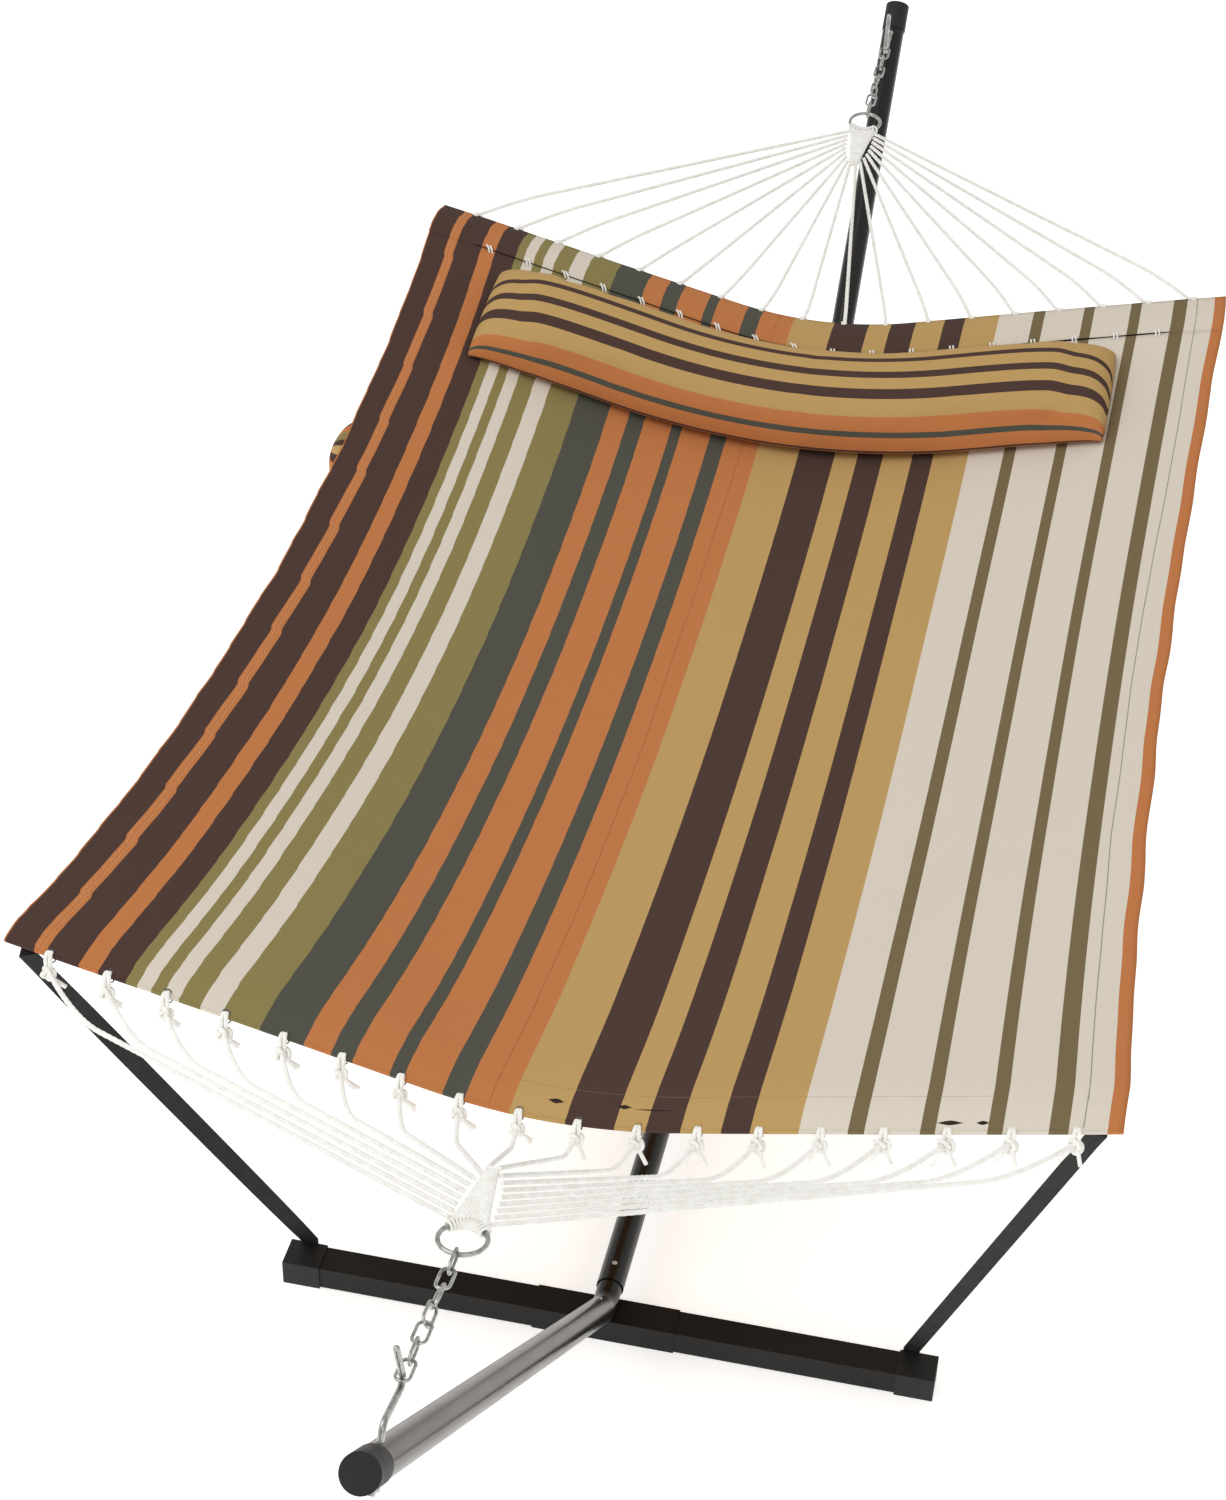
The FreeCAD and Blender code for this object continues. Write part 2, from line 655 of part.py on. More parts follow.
def link_places():
    """Placement of each link, from the hook to the ring."""
    way = chain_way()
    first = crook_seat() + way * ((D.link_inner_length + D.chain_wire) / 2)
    places = []
    for number, twist in enumerate(LINK_TURNS):
        centre = first + way * (number * (D.link_inner_length - D.link_play))
        place = along(centre, way)
        places.append(place.multiply(Placement(Vector(), Rotation(Vector(0, 0, 1), twist))))
    return places


def ring_centre():
    """Middle of the ring, which lies in the plane of X and the chain."""
    last = link_places()[-1].Base + chain_way() * ((D.link_inner_length + D.chain_wire) / 2)
    wire_gap = (D.chain_wire + D.ring_wire) / 2 + D.link_play
    return last + chain_way() * ((D.ring_diameter - D.ring_wire) / 2 - wire_gap)


def make_chain(end, turn):
    """Seven links; two of them lie skew, so the last stands on edge in the ring."""
    links = []
    for place in link_places():
        piece = link()
        piece.Placement = place
        links.append(piece)
    from_shape(end + "_chain", Part.makeCompound(links), turn)


def make_ring(end, turn):
    """Welded steel ring."""
    shape = Part.makeTorus((D.ring_diameter - D.ring_wire) / 2, D.ring_wire / 2)
    shape.Placement = along(ring_centre(), chain_way().cross(Vector(1, 0, 0)))
    from_shape(end + "_ring", shape, turn)


def make_clew(end, turn):
    """Woven clew: a flat wedge of rope that holds the ring in its first loops."""
    way = chain_way()
    wire = ring_centre() + way * ((D.ring_diameter - D.ring_wire) / 2)
    flat = D.clew_thickness / 2
    sections = []
    for distance, half, thick in (
        (-flat, D.clew_width / 2, flat),
        (flat, D.clew_width / 2, flat),
        (D.clew_length, D.clew_tip / 2, flat * 0.7),
    ):
        place = along(wire + way * distance, way)
        ring = [
            place.multVec(Vector(x * half, y * thick, 0))
            for x, y in ((-1, -1), (1, -1), (1, 1), (-1, 1), (-1, -1))
        ]
        sections.append(Part.makePolygon(ring))
    shape = Part.makeLoft(sections, True, True)
    room = Part.makeTorus((D.ring_diameter - D.ring_wire) / 2, D.ring_wire / 2 + 0.3)
    room.Placement = along(ring_centre(), way.cross(Vector(1, 0, 0)))
    from_shape(end + "_clew", shape.cut(room).Solids[0], turn)


# Bed -----------------------------------------------------------------------------------------

hem_y = D.bed_length / 2
bar_y = hem_y - D.bar_inset
seam_y = hem_y - D.seam_inset
bed_half = D.bed_width / 2


def bend_slope(half, bend, rise):
    """Slope of the straight flanks when an arc of radius bend lies between them."""
    reach = hypot(half, bend - rise)
    return asin(bend / reach) - atan2(bend - rise, half)


def bar_line(x):
    """Height of the spreader bar's centre line above its lowest point."""
    angle = radians(D.bar_slope)
    arc_half = D.bar_bend * sin(angle)
    if abs(x) < arc_half:
        return D.bar_bend - (D.bar_bend ** 2 - x * x) ** 0.5
    return D.bar_bend * (1 - cos(angle)) + (abs(x) - arc_half) * tan(angle)


def middle_rise():
    """Height of the bed's sides above its middle, half way along it."""
    angle = radians(D.bed_slope)
    flank = bed_half - D.bed_waist - D.bed_bend * sin(angle)
    return D.bed_bend * (1 - cos(angle)) + flank * tan(angle)


def section_at(y):
    """Half width, low height, bend radius and flank slope of the bed's middle layer at y."""
    share = 1 - (y / seam_y) ** 2
    half = bed_half - D.bed_waist * share
    rise = bar_line(bed_half) + (middle_rise() - bar_line(bed_half)) * share
    bend = D.bar_bend + (D.bed_bend - D.bar_bend) * share
    low = D.bar_height - D.bed_sag * share
    return half, low, bend, bend_slope(half, bend, rise)


def bed_height(x, y):
    """Height of the bed's middle layer."""
    half, low, bend, angle = section_at(y)
    arc_half = bend * sin(angle)
    if abs(x) < arc_half:
        return low + bend - (bend * bend - x * x) ** 0.5
    return low + bend * (1 - cos(angle)) + (abs(x) - arc_half) * tan(angle)


def section_edges(y, lift, half, low, bend, angle, shift=0):
    """The section's outer ends, moved by shift, and its arc's ends and middle, all lifted."""
    arc_half = bend * sin(angle)
    arc_top = low + lift + bend * (1 - cos(angle))
    left = Vector(shift - half, y, arc_top + (half - shift - arc_half) * tan(angle))
    right = Vector(shift + half, y, arc_top + (half + shift - arc_half) * tan(angle))
    first, last = Vector(-arc_half, y, arc_top), Vector(arc_half, y, arc_top)
    return left, first, Vector(0, y, low + lift), last, right


def closed_section(upper, lower):
    """Wire round two section lines: flank, arc and flank above, and the same below."""
    left, first, middle, last, right = upper
    edges = [
        Part.LineSegment(left, first).toShape(),
        Part.Arc(first, middle, last).toShape(),
        Part.LineSegment(last, right).toShape(),
        Part.LineSegment(right, lower[4]).toShape(),
        Part.LineSegment(lower[4], lower[3]).toShape(),
        Part.Arc(lower[3], lower[2], lower[1]).toShape(),
        Part.LineSegment(lower[1], lower[0]).toShape(),
        Part.LineSegment(lower[0], left).toShape(),
    ]
    return Part.Wire(edges)


def bed_outline(y, thickness):
    """Closed outline of the bed across its width at y."""
    section = section_at(y)
    upper = section_edges(y, thickness / 2, *section)
    lower = section_edges(y, -thickness / 2, *section)
    return closed_section(upper, lower)


def make_bed():
    """Quilted cloth between the two sleeves, sagging along and across."""
    steps = 8
    reach = seam_y - D.seam_gap
    outlines = [
        bed_outline(-reach + 2 * reach * i / steps, D.bed_thickness) for i in range(steps + 1)
    ]
    from_shape("bed", Part.makeLoft(outlines, True, False))


def bar_path(half):
    """Centre line of a spreader bar at the foot end, out to half on each side."""
    angle = radians(D.bar_slope)
    bend = D.bar_bend
    left, first, middle, last, right = section_edges(
        -bar_y, 0, half, D.bar_height, bend, angle
    )
    return Part.Wire([
        Part.LineSegment(left, first).toShape(),
        Part.Arc(first, middle, last).toShape(),
        Part.LineSegment(last, right).toShape(),
    ])


def make_bar(end, turn):
    """Wooden spreader bar, round, bent in the middle."""
    from_shape(end + "_spreader_bar", rod(bar_path(bed_half - D.bar_short), D.bar_diameter), turn)


def rope_places():
    """X of each rope's eyelet, from left to right."""
    return [(i - (ROPES - 1) / 2) * D.rope_pitch for i in range(ROPES)]


def hem_place(x, outward):
    """Frame on the hem's middle layer: Z square to the cloth, outward from the eyelets."""
    angle = 0 if abs(x) < 1 else atan2(bar_line(abs(x) + 1) - bar_line(abs(x) - 1), 2)
    angle = angle if x > 0 else -angle
    at = Vector(x, -(hem_y - D.eyelet_inset) - outward, D.bar_height + bar_line(x))
    return along(at, Vector(-sin(angle), 0, cos(angle)))


def make_sleeve(end, turn):
    """Cloth sleeve round the bar, with the flat hem that holds the eyelets."""
    path = bar_path(bed_half)
    start = path.Edges[0].valueAt(path.Edges[0].FirstParameter)
    around = D.bar_diameter + 2 * (D.bar_play + D.sleeve_cloth)
    tilt = radians(D.bar_slope)
    up = Vector(sin(tilt), 0, cos(tilt)) * (D.hem_thickness / 2)
    out = Vector(0, -D.bar_inset, 0)
    inward = Vector(0, D.seam_inset - D.bar_inset, 0)
    corners = [start + out - up, start + inward - up, start + inward + up, start + out + up]
    flat = sweep(path, Part.makePolygon(corners + corners[:1]).Edges)
    shape = flat.fuse(rod(path, around)).cut(rod(path, D.bar_diameter + 2 * D.bar_play))
    hole = D.eyelet_bore / 2 + D.eyelet_wall + 0.15
    for x in rope_places():
        drill = Part.makeCylinder(hole, 4 * D.hem_thickness, Vector(0, 0, -2 * D.hem_thickness))
        drill.Placement = hem_place(x, 0)
        shape = shape.cut(drill)
    from_shape(end + "_bar_sleeve", shape.Solids[0], turn)


def make_eyelets(end, turn):
    """Metal eyelets along the hem: a barrel with a flange on each face."""
    bore = D.eyelet_bore / 2
    flange = D.eyelet_flange / 2
    half = D.hem_thickness / 2 + 0.15
    eyelets = []
    for x in rope_places():
        shape = Part.makeCylinder(bore + D.eyelet_wall, 2 * half, Vector(0, 0, -half))
        for low in (-half - D.eyelet_wall, half):
            shape = shape.fuse(Part.makeCylinder(flange, D.eyelet_wall, Vector(0, 0, low)))
        shape = shape.cut(Part.makeCylinder(bore, 6 * half, Vector(0, 0, -3 * half)))
        shape = shape.removeSplitter().Solids[0]
        shape.Placement = hem_place(x, 0)
        eyelets.append(shape)
    from_shape(end + "_eyelets", Part.makeCompound(eyelets), turn)


def knot_centre(x):
    """Middle of the knot outside the hem."""
    return Vector(x, -hem_y - D.knot_diameter / 2 - D.knot_gap, D.bar_height + bar_line(x))


def make_knots(end, turn):
    """Rope knots with two hanging tails, one at each eyelet."""
    knots = []
    for x in rope_places():
        at = knot_centre(x)
        shape = Part.makeSphere(D.knot_diameter / 2, at)
        for way in SIDES.values():
            tail = Vector(way * 0.35, -0.3, -0.9)
            shape = shape.fuse(
                Part.makeCylinder(D.tail_diameter / 2, D.tail_length, at, tail)
            )
        knots.append(shape.removeSplitter().Solids[0])
    from_shape(end + "_knots", Part.makeCompound(knots), turn)


def rope_points(number):
    """A rope's route on the right: clew, kink and knot. Number 0 is the innermost rope."""
    x = (number + 0.5) * D.rope_pitch
    inner = 1 - number / (ROPES / 2 - 1)
    way = chain_way()
    base = ring_centre() + way * ((D.ring_diameter - D.ring_wire) / 2 + D.clew_thickness / 2)
    aside = D.rope_spread - D.rope_draw * inner ** 3
    start = base + way * (inner * D.clew_length) + Vector(aside, 0, 0)
    knot = knot_centre(x)
    kink_out = D.kink_out - D.kink_draw * inner ** 4
    kink = Vector(D.kink_share * x, knot.y - kink_out, knot.z + D.kink_rise)
    end = knot + (kink - knot).normalize() * (D.knot_diameter / 2 + D.rope_gap)
    return start, kink, end


def make_ropes(end, side, turn):
    """Nine ropes from one side of the clew to the knots."""
    way = SIDES[side] * (1 if end == "foot" else -1)
    ropes = []
    for number in range(ROPES // 2):
        points = [Vector(p.x * way, p.y, p.z) for p in rope_points(number)]
        radius = rope_radius(*points)
        path = bent_path(points, [radius])
        solid = rod(path, D.rope_diameter)
        share = solid.Volume / (path.Length * pi * (D.rope_diameter / 2) ** 2)
        if end == "foot" and side == "right":
            print(f"rope {number}: length {path.Length:.0f} radius {radius:.0f} volume {share:.3f}")
        ropes.append(solid)
    from_shape(f"{end}_ropes_{side}", Part.makeCompound(ropes), turn)


# Straps --------------------------------------------------------------------------------------


def strap_ends(way):
    """Top end under the hem, and the root behind the foot cap's top edge."""
    top_x = bed_half - D.strap_width / 2 - D.strap_edge
    below = D.hem_thickness / 2 + D.strap_gap
    top = Vector(
        way * top_x + D.strap_shift,
        -(hem_y - D.strap_out),
        D.bar_height + bar_line(top_x) - below,
    )
    root = Vector(
        way * (D.crossbar_length / 2 - D.strap_width / 2 - D.strap_inset) + D.strap_shift,
        crossbar_y + cap_outer_depth / 2 + D.strap_thickness / 2 + D.strap_clear,
        cap_outer_height,
    )
    return top, root


def strap_box(start, finish, way):
    """Flat webbing from start to finish, its width along X."""
    shape = Part.makeBox(
        D.strap_width, D.strap_thickness, (finish - start).Length,
        Vector(-D.strap_width / 2, -D.strap_thickness / 2, 0),
    )
    shape.Placement = along(start, finish - start, Vector(way, 0, 0))
    return shape


def make_strap(end, side, turn):
    """Webbing strap from the spreader bar's end down towards the foot cap."""
    way = SIDES[side] * (1 if end == "foot" else -1)
    top, root = strap_ends(way)
    line = (top - root).normalize()
    start = root + line * D.strap_free
    from_shape(f"{end}_strap_{side}", strap_box(start, top, way), turn)


def make_tabs_and_rivets():
    """Lower ends of the straps, folded down behind the foot caps and riveted."""
    tabs, rivets = [], []
    for turn in ENDS.values():
        for way in SIDES.values():
            top, root = strap_ends(way)
            line = (top - root).normalize()
            upper = strap_box(root, root + line * D.tab_length, way)
            corner = root - Vector(D.strap_width / 2, D.strap_thickness / 2, D.tab_drop)
            lower = Part.makeBox(D.strap_width, D.strap_thickness, D.tab_drop + 1, corner)
            middle = root - Vector(0, 0, D.rivet_drop)
            through = Vector(0, 1, 0)
            hole = Part.makeCylinder(
                D.rivet_diameter / 2 + D.rivet_gap, 4 * D.strap_thickness,
                middle - through * (2 * D.strap_thickness), through,
            )
            tab = upper.fuse(lower).cut(hole).removeSplitter()
            face = middle + through * (D.strap_thickness / 2 + D.rivet_gap)
            head = Part.makeCylinder(D.rivet_diameter, D.rivet_head, face, through)
            shank = Part.makeCylinder(
                D.rivet_diameter / 2, D.strap_thickness + D.strap_clear, face, through * -1
            )
            rivet = head.fuse(shank).removeSplitter()
            for shape, group in ((tab, tabs), (rivet, rivets)):
                solid = shape.Solids[0]
                solid.rotate(Vector(), Vector(0, 0, 1), turn)
                group.append(solid)
    from_shape("strap_tabs", Part.makeCompound(tabs))
    from_shape("tab_rivets", Part.makeCompound(rivets))


# Pillow and pouch ----------------------------------------------------------------------------


def pillow_outline(y):
    """Closed outline of the pillow across the bed at y, standing clear of the cloth."""
    lift = D.bed_thickness / 2 + D.pillow_gap
    sizes = (D.pillow_length / 2, *section_at(y)[1:], D.pillow_shift)
    lower = section_edges(y, lift, *sizes)
    upper = section_edges(y, lift + D.pillow_thickness, *sizes)
    return closed_section(upper, lower)


def make_pillow():
    """Long soft pillow across the head end, following the bed's curve."""
    near, steps = D.pillow_place - D.pillow_depth / 2, 4
    outlines = [pillow_outline(near + D.pillow_depth * i / steps) for i in range(steps + 1)]
    from_shape("pillow", Part.makeLoft(outlines, True, False))


def make_pouch():
    """Soft round pouch on a short cloth hanger under the left hem."""
    x = -(bed_half + D.pouch_out - D.pouch_width / 2)
    seam_x = x + D.hanger_offset
    under = bed_height(seam_x, D.pouch_place) - D.bed_thickness / 2 + D.pouch_seam
    near = D.pouch_place - D.pouch_length / 2
    middle = Vector(x, near, under - D.hanger_height - D.pouch_width / 2)
    form = Part.makeCylinder(D.pouch_width / 2, D.pouch_length, middle, Vector(0, 1, 0))
    form = form.makeFillet(D.pouch_round, form.Edges)
    corner = Vector(
        seam_x - D.hanger_thickness / 2, D.pouch_place - D.hanger_length / 2, middle.z
    )
    hanger = Part.makeBox(
        D.hanger_thickness, D.hanger_length, under - middle.z, corner
    )
    from_shape("side_pouch", form.fuse(hanger).removeSplitter().Solids[0])


# Build ---------------------------------------------------------------------------------------

make_base_tube()
for end, turn in ENDS.items():
    make_arm(end, turn)
    make_arm_cap(end, turn)
    make_elbow(end, turn)
    make_buttons(end, turn)
    make_crossbar(end, turn)
    make_hook(end, turn)
    make_hook_nut(end, turn)
    make_chain(end, turn)
    make_ring(end, turn)
    make_clew(end, turn)
    make_bar(end, turn)
    make_sleeve(end, turn)
    make_eyelets(end, turn)
    make_knots(end, turn)
    for side in SIDES:
        make_ropes(end, side, turn)
        make_strap(end, side, turn)
make_button_springs()
make_sleeve_screws()
make_tabs_and_rivets()
make_bed()
make_pillow()
make_pouch()
doc.recompute()

for piece in doc.Objects:
    if "Invalid" in piece.State or "Error" in piece.State:
        raise RuntimeError(f"{piece.Label} failed: {piece.State}")
for piece in SUBPARTS:
    if piece.Shape.isNull() or not piece.Shape.isValid() or not piece.Shape.Solids:
        raise RuntimeError(f"{piece.Label} has no valid solid")

os.makedirs("parts", exist_ok=True)
for piece in SUBPARTS:
    piece.Shape.exportStep(f"parts/{piece.Label}.step")
print(len(SUBPARTS), "sub-parts")
seat, ring = crook_seat(), ring_centre()
print("hinge axis height and reach", round(seat.z, 2), round(seat.y, 2), "ring", ring)
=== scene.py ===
"""A quilted hammock with spreader bars, hung by chains from a stand of steel tube.

Metres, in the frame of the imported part: +X to the right seen from the foot end, +Y towards the
pillow end, +Z up, with the origin on the floor under the middle. The foot end is at -Y.
"""
import math
import random

import bmesh
import bpy
from mathutils import Matrix, Quaternion, Vector, noise


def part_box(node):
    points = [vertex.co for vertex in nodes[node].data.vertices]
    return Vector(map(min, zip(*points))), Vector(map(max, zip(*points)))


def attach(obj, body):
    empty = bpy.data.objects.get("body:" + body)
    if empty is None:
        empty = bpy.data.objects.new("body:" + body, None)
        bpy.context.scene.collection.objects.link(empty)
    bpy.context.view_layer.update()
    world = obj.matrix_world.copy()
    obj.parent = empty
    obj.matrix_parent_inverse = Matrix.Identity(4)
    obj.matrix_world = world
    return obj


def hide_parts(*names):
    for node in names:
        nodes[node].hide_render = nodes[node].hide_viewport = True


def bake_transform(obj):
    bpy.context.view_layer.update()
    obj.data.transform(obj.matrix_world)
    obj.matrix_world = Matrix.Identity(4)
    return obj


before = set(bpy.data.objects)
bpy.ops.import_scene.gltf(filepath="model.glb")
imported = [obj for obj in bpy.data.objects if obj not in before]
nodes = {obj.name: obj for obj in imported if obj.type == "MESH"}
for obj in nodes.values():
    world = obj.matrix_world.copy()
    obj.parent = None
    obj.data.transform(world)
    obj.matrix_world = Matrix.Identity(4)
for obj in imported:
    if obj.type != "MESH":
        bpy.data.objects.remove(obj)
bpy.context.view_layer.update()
scene = bpy.context.scene

# Camera ------------------------------------------------------------------------------------------
# It stands past the foot end, a little to the right and well above the bed, and looks down the
# length of the hammock with a slight lean to the left.
AZIMUTH, ELEVATION, LEAN = math.radians(11.84), math.radians(37.35), math.radians(1.33)
camera = bpy.data.objects.new("camera", bpy.data.cameras.new("camera"))
scene.collection.objects.link(camera)
camera.data.sensor_width = 36
camera.data.lens = 70.87
camera.data.clip_end = 100
camera.location = (0.615, -3.643, 3.428)
camera.rotation_mode = "QUATERNION"
looking = Vector((
    -math.sin(AZIMUTH) * math.cos(ELEVATION),
    math.cos(AZIMUTH) * math.cos(ELEVATION),
    -math.sin(ELEVATION),
))
camera.rotation_quaternion = looking.to_track_quat("-Z", "Y") @ Quaternion((0, 0, 1), LEAN)
scene.camera = camera

# Ropes -------------------------------------------------------------------------------------------
# Thirty-six cream polyester ropes, three strands laid together, fan out from each woven clew to
# the knots along the hem. Each is pulled tight and turns once, a hand's width from its knot.
ENDS = {"foot": -1, "head": 1}
SIDES = {"left": -1, "right": 1}
ROPE_THICKNESS = 0.007
ROPE_LAY = 0.03
ROPE_CORNERS = 12
ROPE_PITCH = 0.0762
ROPES_A_SIDE = 9
RING_MIDDLE = Vector((0, -1.4579, 1.0147))
PULL_DROP = math.radians(9.8)
PULL = Vector((0, math.cos(PULL_DROP), -math.sin(PULL_DROP)))
CLEW_START = RING_MIDDLE + PULL * 0.034
CLEW_LENGTH = 0.105
HEM_END = 1.055
KNOT_OUT = 0.0085
BAR_LOW = 0.8
BAR_BEND = 0.7
BAR_SLOPE = math.radians(13.2)


def dye(code):
    """Linear colour of a dye, paint or plating, from its usual six-figure code."""
    parts = [int(code[i:i + 2], 16) / 255 for i in (0, 2, 4)]
    return [c / 12.92 if c < 0.0405 else ((c + 0.055) / 1.055) ** 2.4 for c in parts] + [1]


def new_finish(name, **settings):
    """A material with one shader; settings go straight to the shader's sockets."""
    finish = bpy.data.materials.new(name)
    finish.use_nodes = True
    shader = finish.node_tree.nodes["Principled BSDF"]
    for socket, value in settings.items():
        shader.inputs[socket.replace("_", " ")].default_value = value
    return finish


def grain(finish, scale, detail=4, stretch=(1, 1, 1)):
    """Noise on the piece's own place, stretched along an axis where a finish has a direction."""
    tree = finish.node_tree
    place = tree.nodes.new("ShaderNodeTexCoord")
    mapping = tree.nodes.new("ShaderNodeMapping")
    mapping.inputs["Scale"].default_value = stretch
    pattern = tree.nodes.new("ShaderNodeTexNoise")
    pattern.inputs["Scale"].default_value = scale
    pattern.inputs["Detail"].default_value = detail
    tree.links.new(place.outputs["Object"], mapping.inputs["Vector"])
    tree.links.new(mapping.outputs["Vector"], pattern.inputs["Vector"])
    return pattern.outputs["Fac"]


def shade(finish, source, low, high, socket="Base Color"):
    """Lead a pattern through a ramp from low to high into one of the shader's sockets."""
    tree = finish.node_tree
    ramp = tree.nodes.new("ShaderNodeValToRGB")
    ends = ramp.color_ramp.elements
    ends[0].position, ends[1].position = 0.3, 0.7
    ends[0].color = low if hasattr(low, "__len__") else (low, low, low, 1)
    ends[1].color = high if hasattr(high, "__len__") else (high, high, high, 1)
    tree.links.new(source, ramp.inputs["Fac"])
    tree.links.new(ramp.outputs["Color"], tree.nodes["Principled BSDF"].inputs[socket])
    return ramp.outputs["Color"]


def relief(finish, source, depth, strength=0.5):
    """Bump from a pattern, depth in metres."""
    tree = finish.node_tree
    bump = tree.nodes.new("ShaderNodeBump")
    bump.inputs["Distance"].default_value = depth
    bump.inputs["Strength"].default_value = strength
    shader = tree.nodes["Principled BSDF"]
    if shader.inputs["Normal"].is_linked:
        tree.links.new(shader.inputs["Normal"].links[0].from_socket, bump.inputs["Normal"])
    tree.links.new(source, bump.inputs["Height"])
    tree.links.new(bump.outputs["Normal"], shader.inputs["Normal"])


def polyester_rope():
    rope = new_finish("polyester_rope", Roughness=0.85, Specular_IOR_Level=0.2)
    shade(rope, grain(rope, 90), dye("E9E7E0"), dye("F6F5F1"))
    relief(rope, grain(rope, 1400), 0.0002, 0.35)
    return rope


def bar_rise(x):
    """How much higher the bent spreader bar is at x than at its middle."""
    bent = BAR_BEND * math.sin(BAR_SLOPE)
    if abs(x) < bent:
        return BAR_BEND - math.sqrt(BAR_BEND ** 2 - x * x)
    return BAR_BEND * (1 - math.cos(BAR_SLOPE)) + (abs(x) - bent) * math.tan(BAR_SLOPE)


def rope_route(number):
    """Points of a rope on the right at the foot end; number 0 is the innermost."""
    x = (number + 0.5) * ROPE_PITCH
    inner = 1 - number / (ROPES_A_SIDE - 1)
    start = CLEW_START + PULL * (inner * CLEW_LENGTH)
    start = start + Vector((0.024 - 0.0185 * inner ** 3, 0, 0))
    knot = Vector((x, -HEM_END - KNOT_OUT, BAR_LOW + bar_rise(x)))
    kink = Vector((0.9 * x, knot.y - 0.078 + 0.038 * inner ** 4, knot.z + 0.002))
    end = knot + (kink - knot).normalized() * 0.0078
    before = kink + (start - kink).normalized() * (kink - end).length
    return [start, before, kink, end]


def rope_section():
    """Outline of three strands laid together."""
    section = bpy.data.curves.new("rope_section", "CURVE")
    spline = section.splines.new("POLY")
    spline.points.add(ROPE_CORNERS - 1)
    spline.use_cyclic_u = True
    for i, point in enumerate(spline.points):
        turn = 2 * math.pi * i / ROPE_CORNERS
        radius = ROPE_THICKNESS / 2 * (1 - 0.13 * math.sin(1.5 * turn) ** 2)
        point.co = (radius * math.cos(turn), radius * math.sin(turn), 0, 1)
    outline = bpy.data.objects.new("rope_section", section)
    scene.collection.objects.link(outline)
    outline.hide_render = True
    return outline


rope_outline = rope_section()
rope_finish = polyester_rope()
for end, along in ENDS.items():
    for side, across in SIDES.items():
        for number in range(ROPES_A_SIDE):
            curve = bpy.data.curves.new(f"{end}_rope_{side}_{number + 1}", "CURVE")
            curve.dimensions = "3D"
            curve.bevel_mode = "OBJECT"
            curve.bevel_object = rope_outline
            curve.use_fill_caps = True
            route = [Vector((p.x * across, p.y * -along, p.z)) for p in rope_route(number)]
            spline = curve.splines.new("NURBS")
            spline.points.add(len(route) - 1)
            gone = 0
            for i, (point, place) in enumerate(zip(spline.points, route)):
                gone += (place - route[max(i - 1, 0)]).length
                point.co = (*place, 1)
                point.tilt = 2 * math.pi * gone / ROPE_LAY
            spline.order_u = 3
            spline.use_endpoint_u = True
            spline.resolution_u = round(gone / 0.0024 / 2)
            rope = bpy.data.objects.new(curve.name, curve)
            scene.collection.objects.link(rope)
            curve.materials.append(rope_finish)
            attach(rope, "hammock")
            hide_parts(f"{end}_ropes_{side}")

# Clews -------------------------------------------------------------------------------------------
# At each steel ring the ropes are looped round the wire side by side, then woven flat, over and
# under, into a wedge that loses a rope to each side row by row until it comes to a point.
CLEW_LOOPS = 12
CLEW_ROWS = 17
CLEW_HALF = 0.0225
CLEW_TIP = 0.0065
STRAND = 0.0023
RING_RADIUS = 0.028


def strands(name, runs, radius, sides=6, closed=False):
    """One mesh of round strands, each following a smooth run of points."""
    curve = bpy.data.curves.new(name, "CURVE")
    curve.dimensions = "3D"
    curve.bevel_depth = radius
    curve.bevel_resolution = max(0, sides // 2 - 2)
    curve.use_fill_caps = not closed
    for run in runs:
        spline = curve.splines.new("NURBS")
        spline.points.add(len(run) - 1)
        for point, place in zip(spline.points, run):
            point.co = (*place, 1)
        spline.order_u = 3
        spline.use_endpoint_u = not closed
        spline.use_cyclic_u = closed
        spline.resolution_u = 3
    helper = bpy.data.objects.new(name, curve)
    mesh = bpy.data.meshes.new_from_object(helper)
    bpy.data.objects.remove(helper)
    bpy.data.curves.remove(curve)
    for face in mesh.polygons:
        face.use_smooth = True
    return mesh


def joined(name, meshes, finishes):
    """One piece from several meshes; each mesh's faces take the finish in the same place."""
    bm = bmesh.new()
    for number, mesh in enumerate(meshes):
        first = len(bm.faces)
        bm.from_mesh(mesh)
        bm.faces.ensure_lookup_table()
        for face in bm.faces[first:]:
            face.material_index = number if len(finishes) > 1 else 0
    whole = bpy.data.meshes.new(name)
    bm.to_mesh(whole)
    bm.free()
    for finish in finishes:
        whole.materials.append(finish)
    piece = bpy.data.objects.new(name, whole)
    scene.collection.objects.link(piece)
    return piece


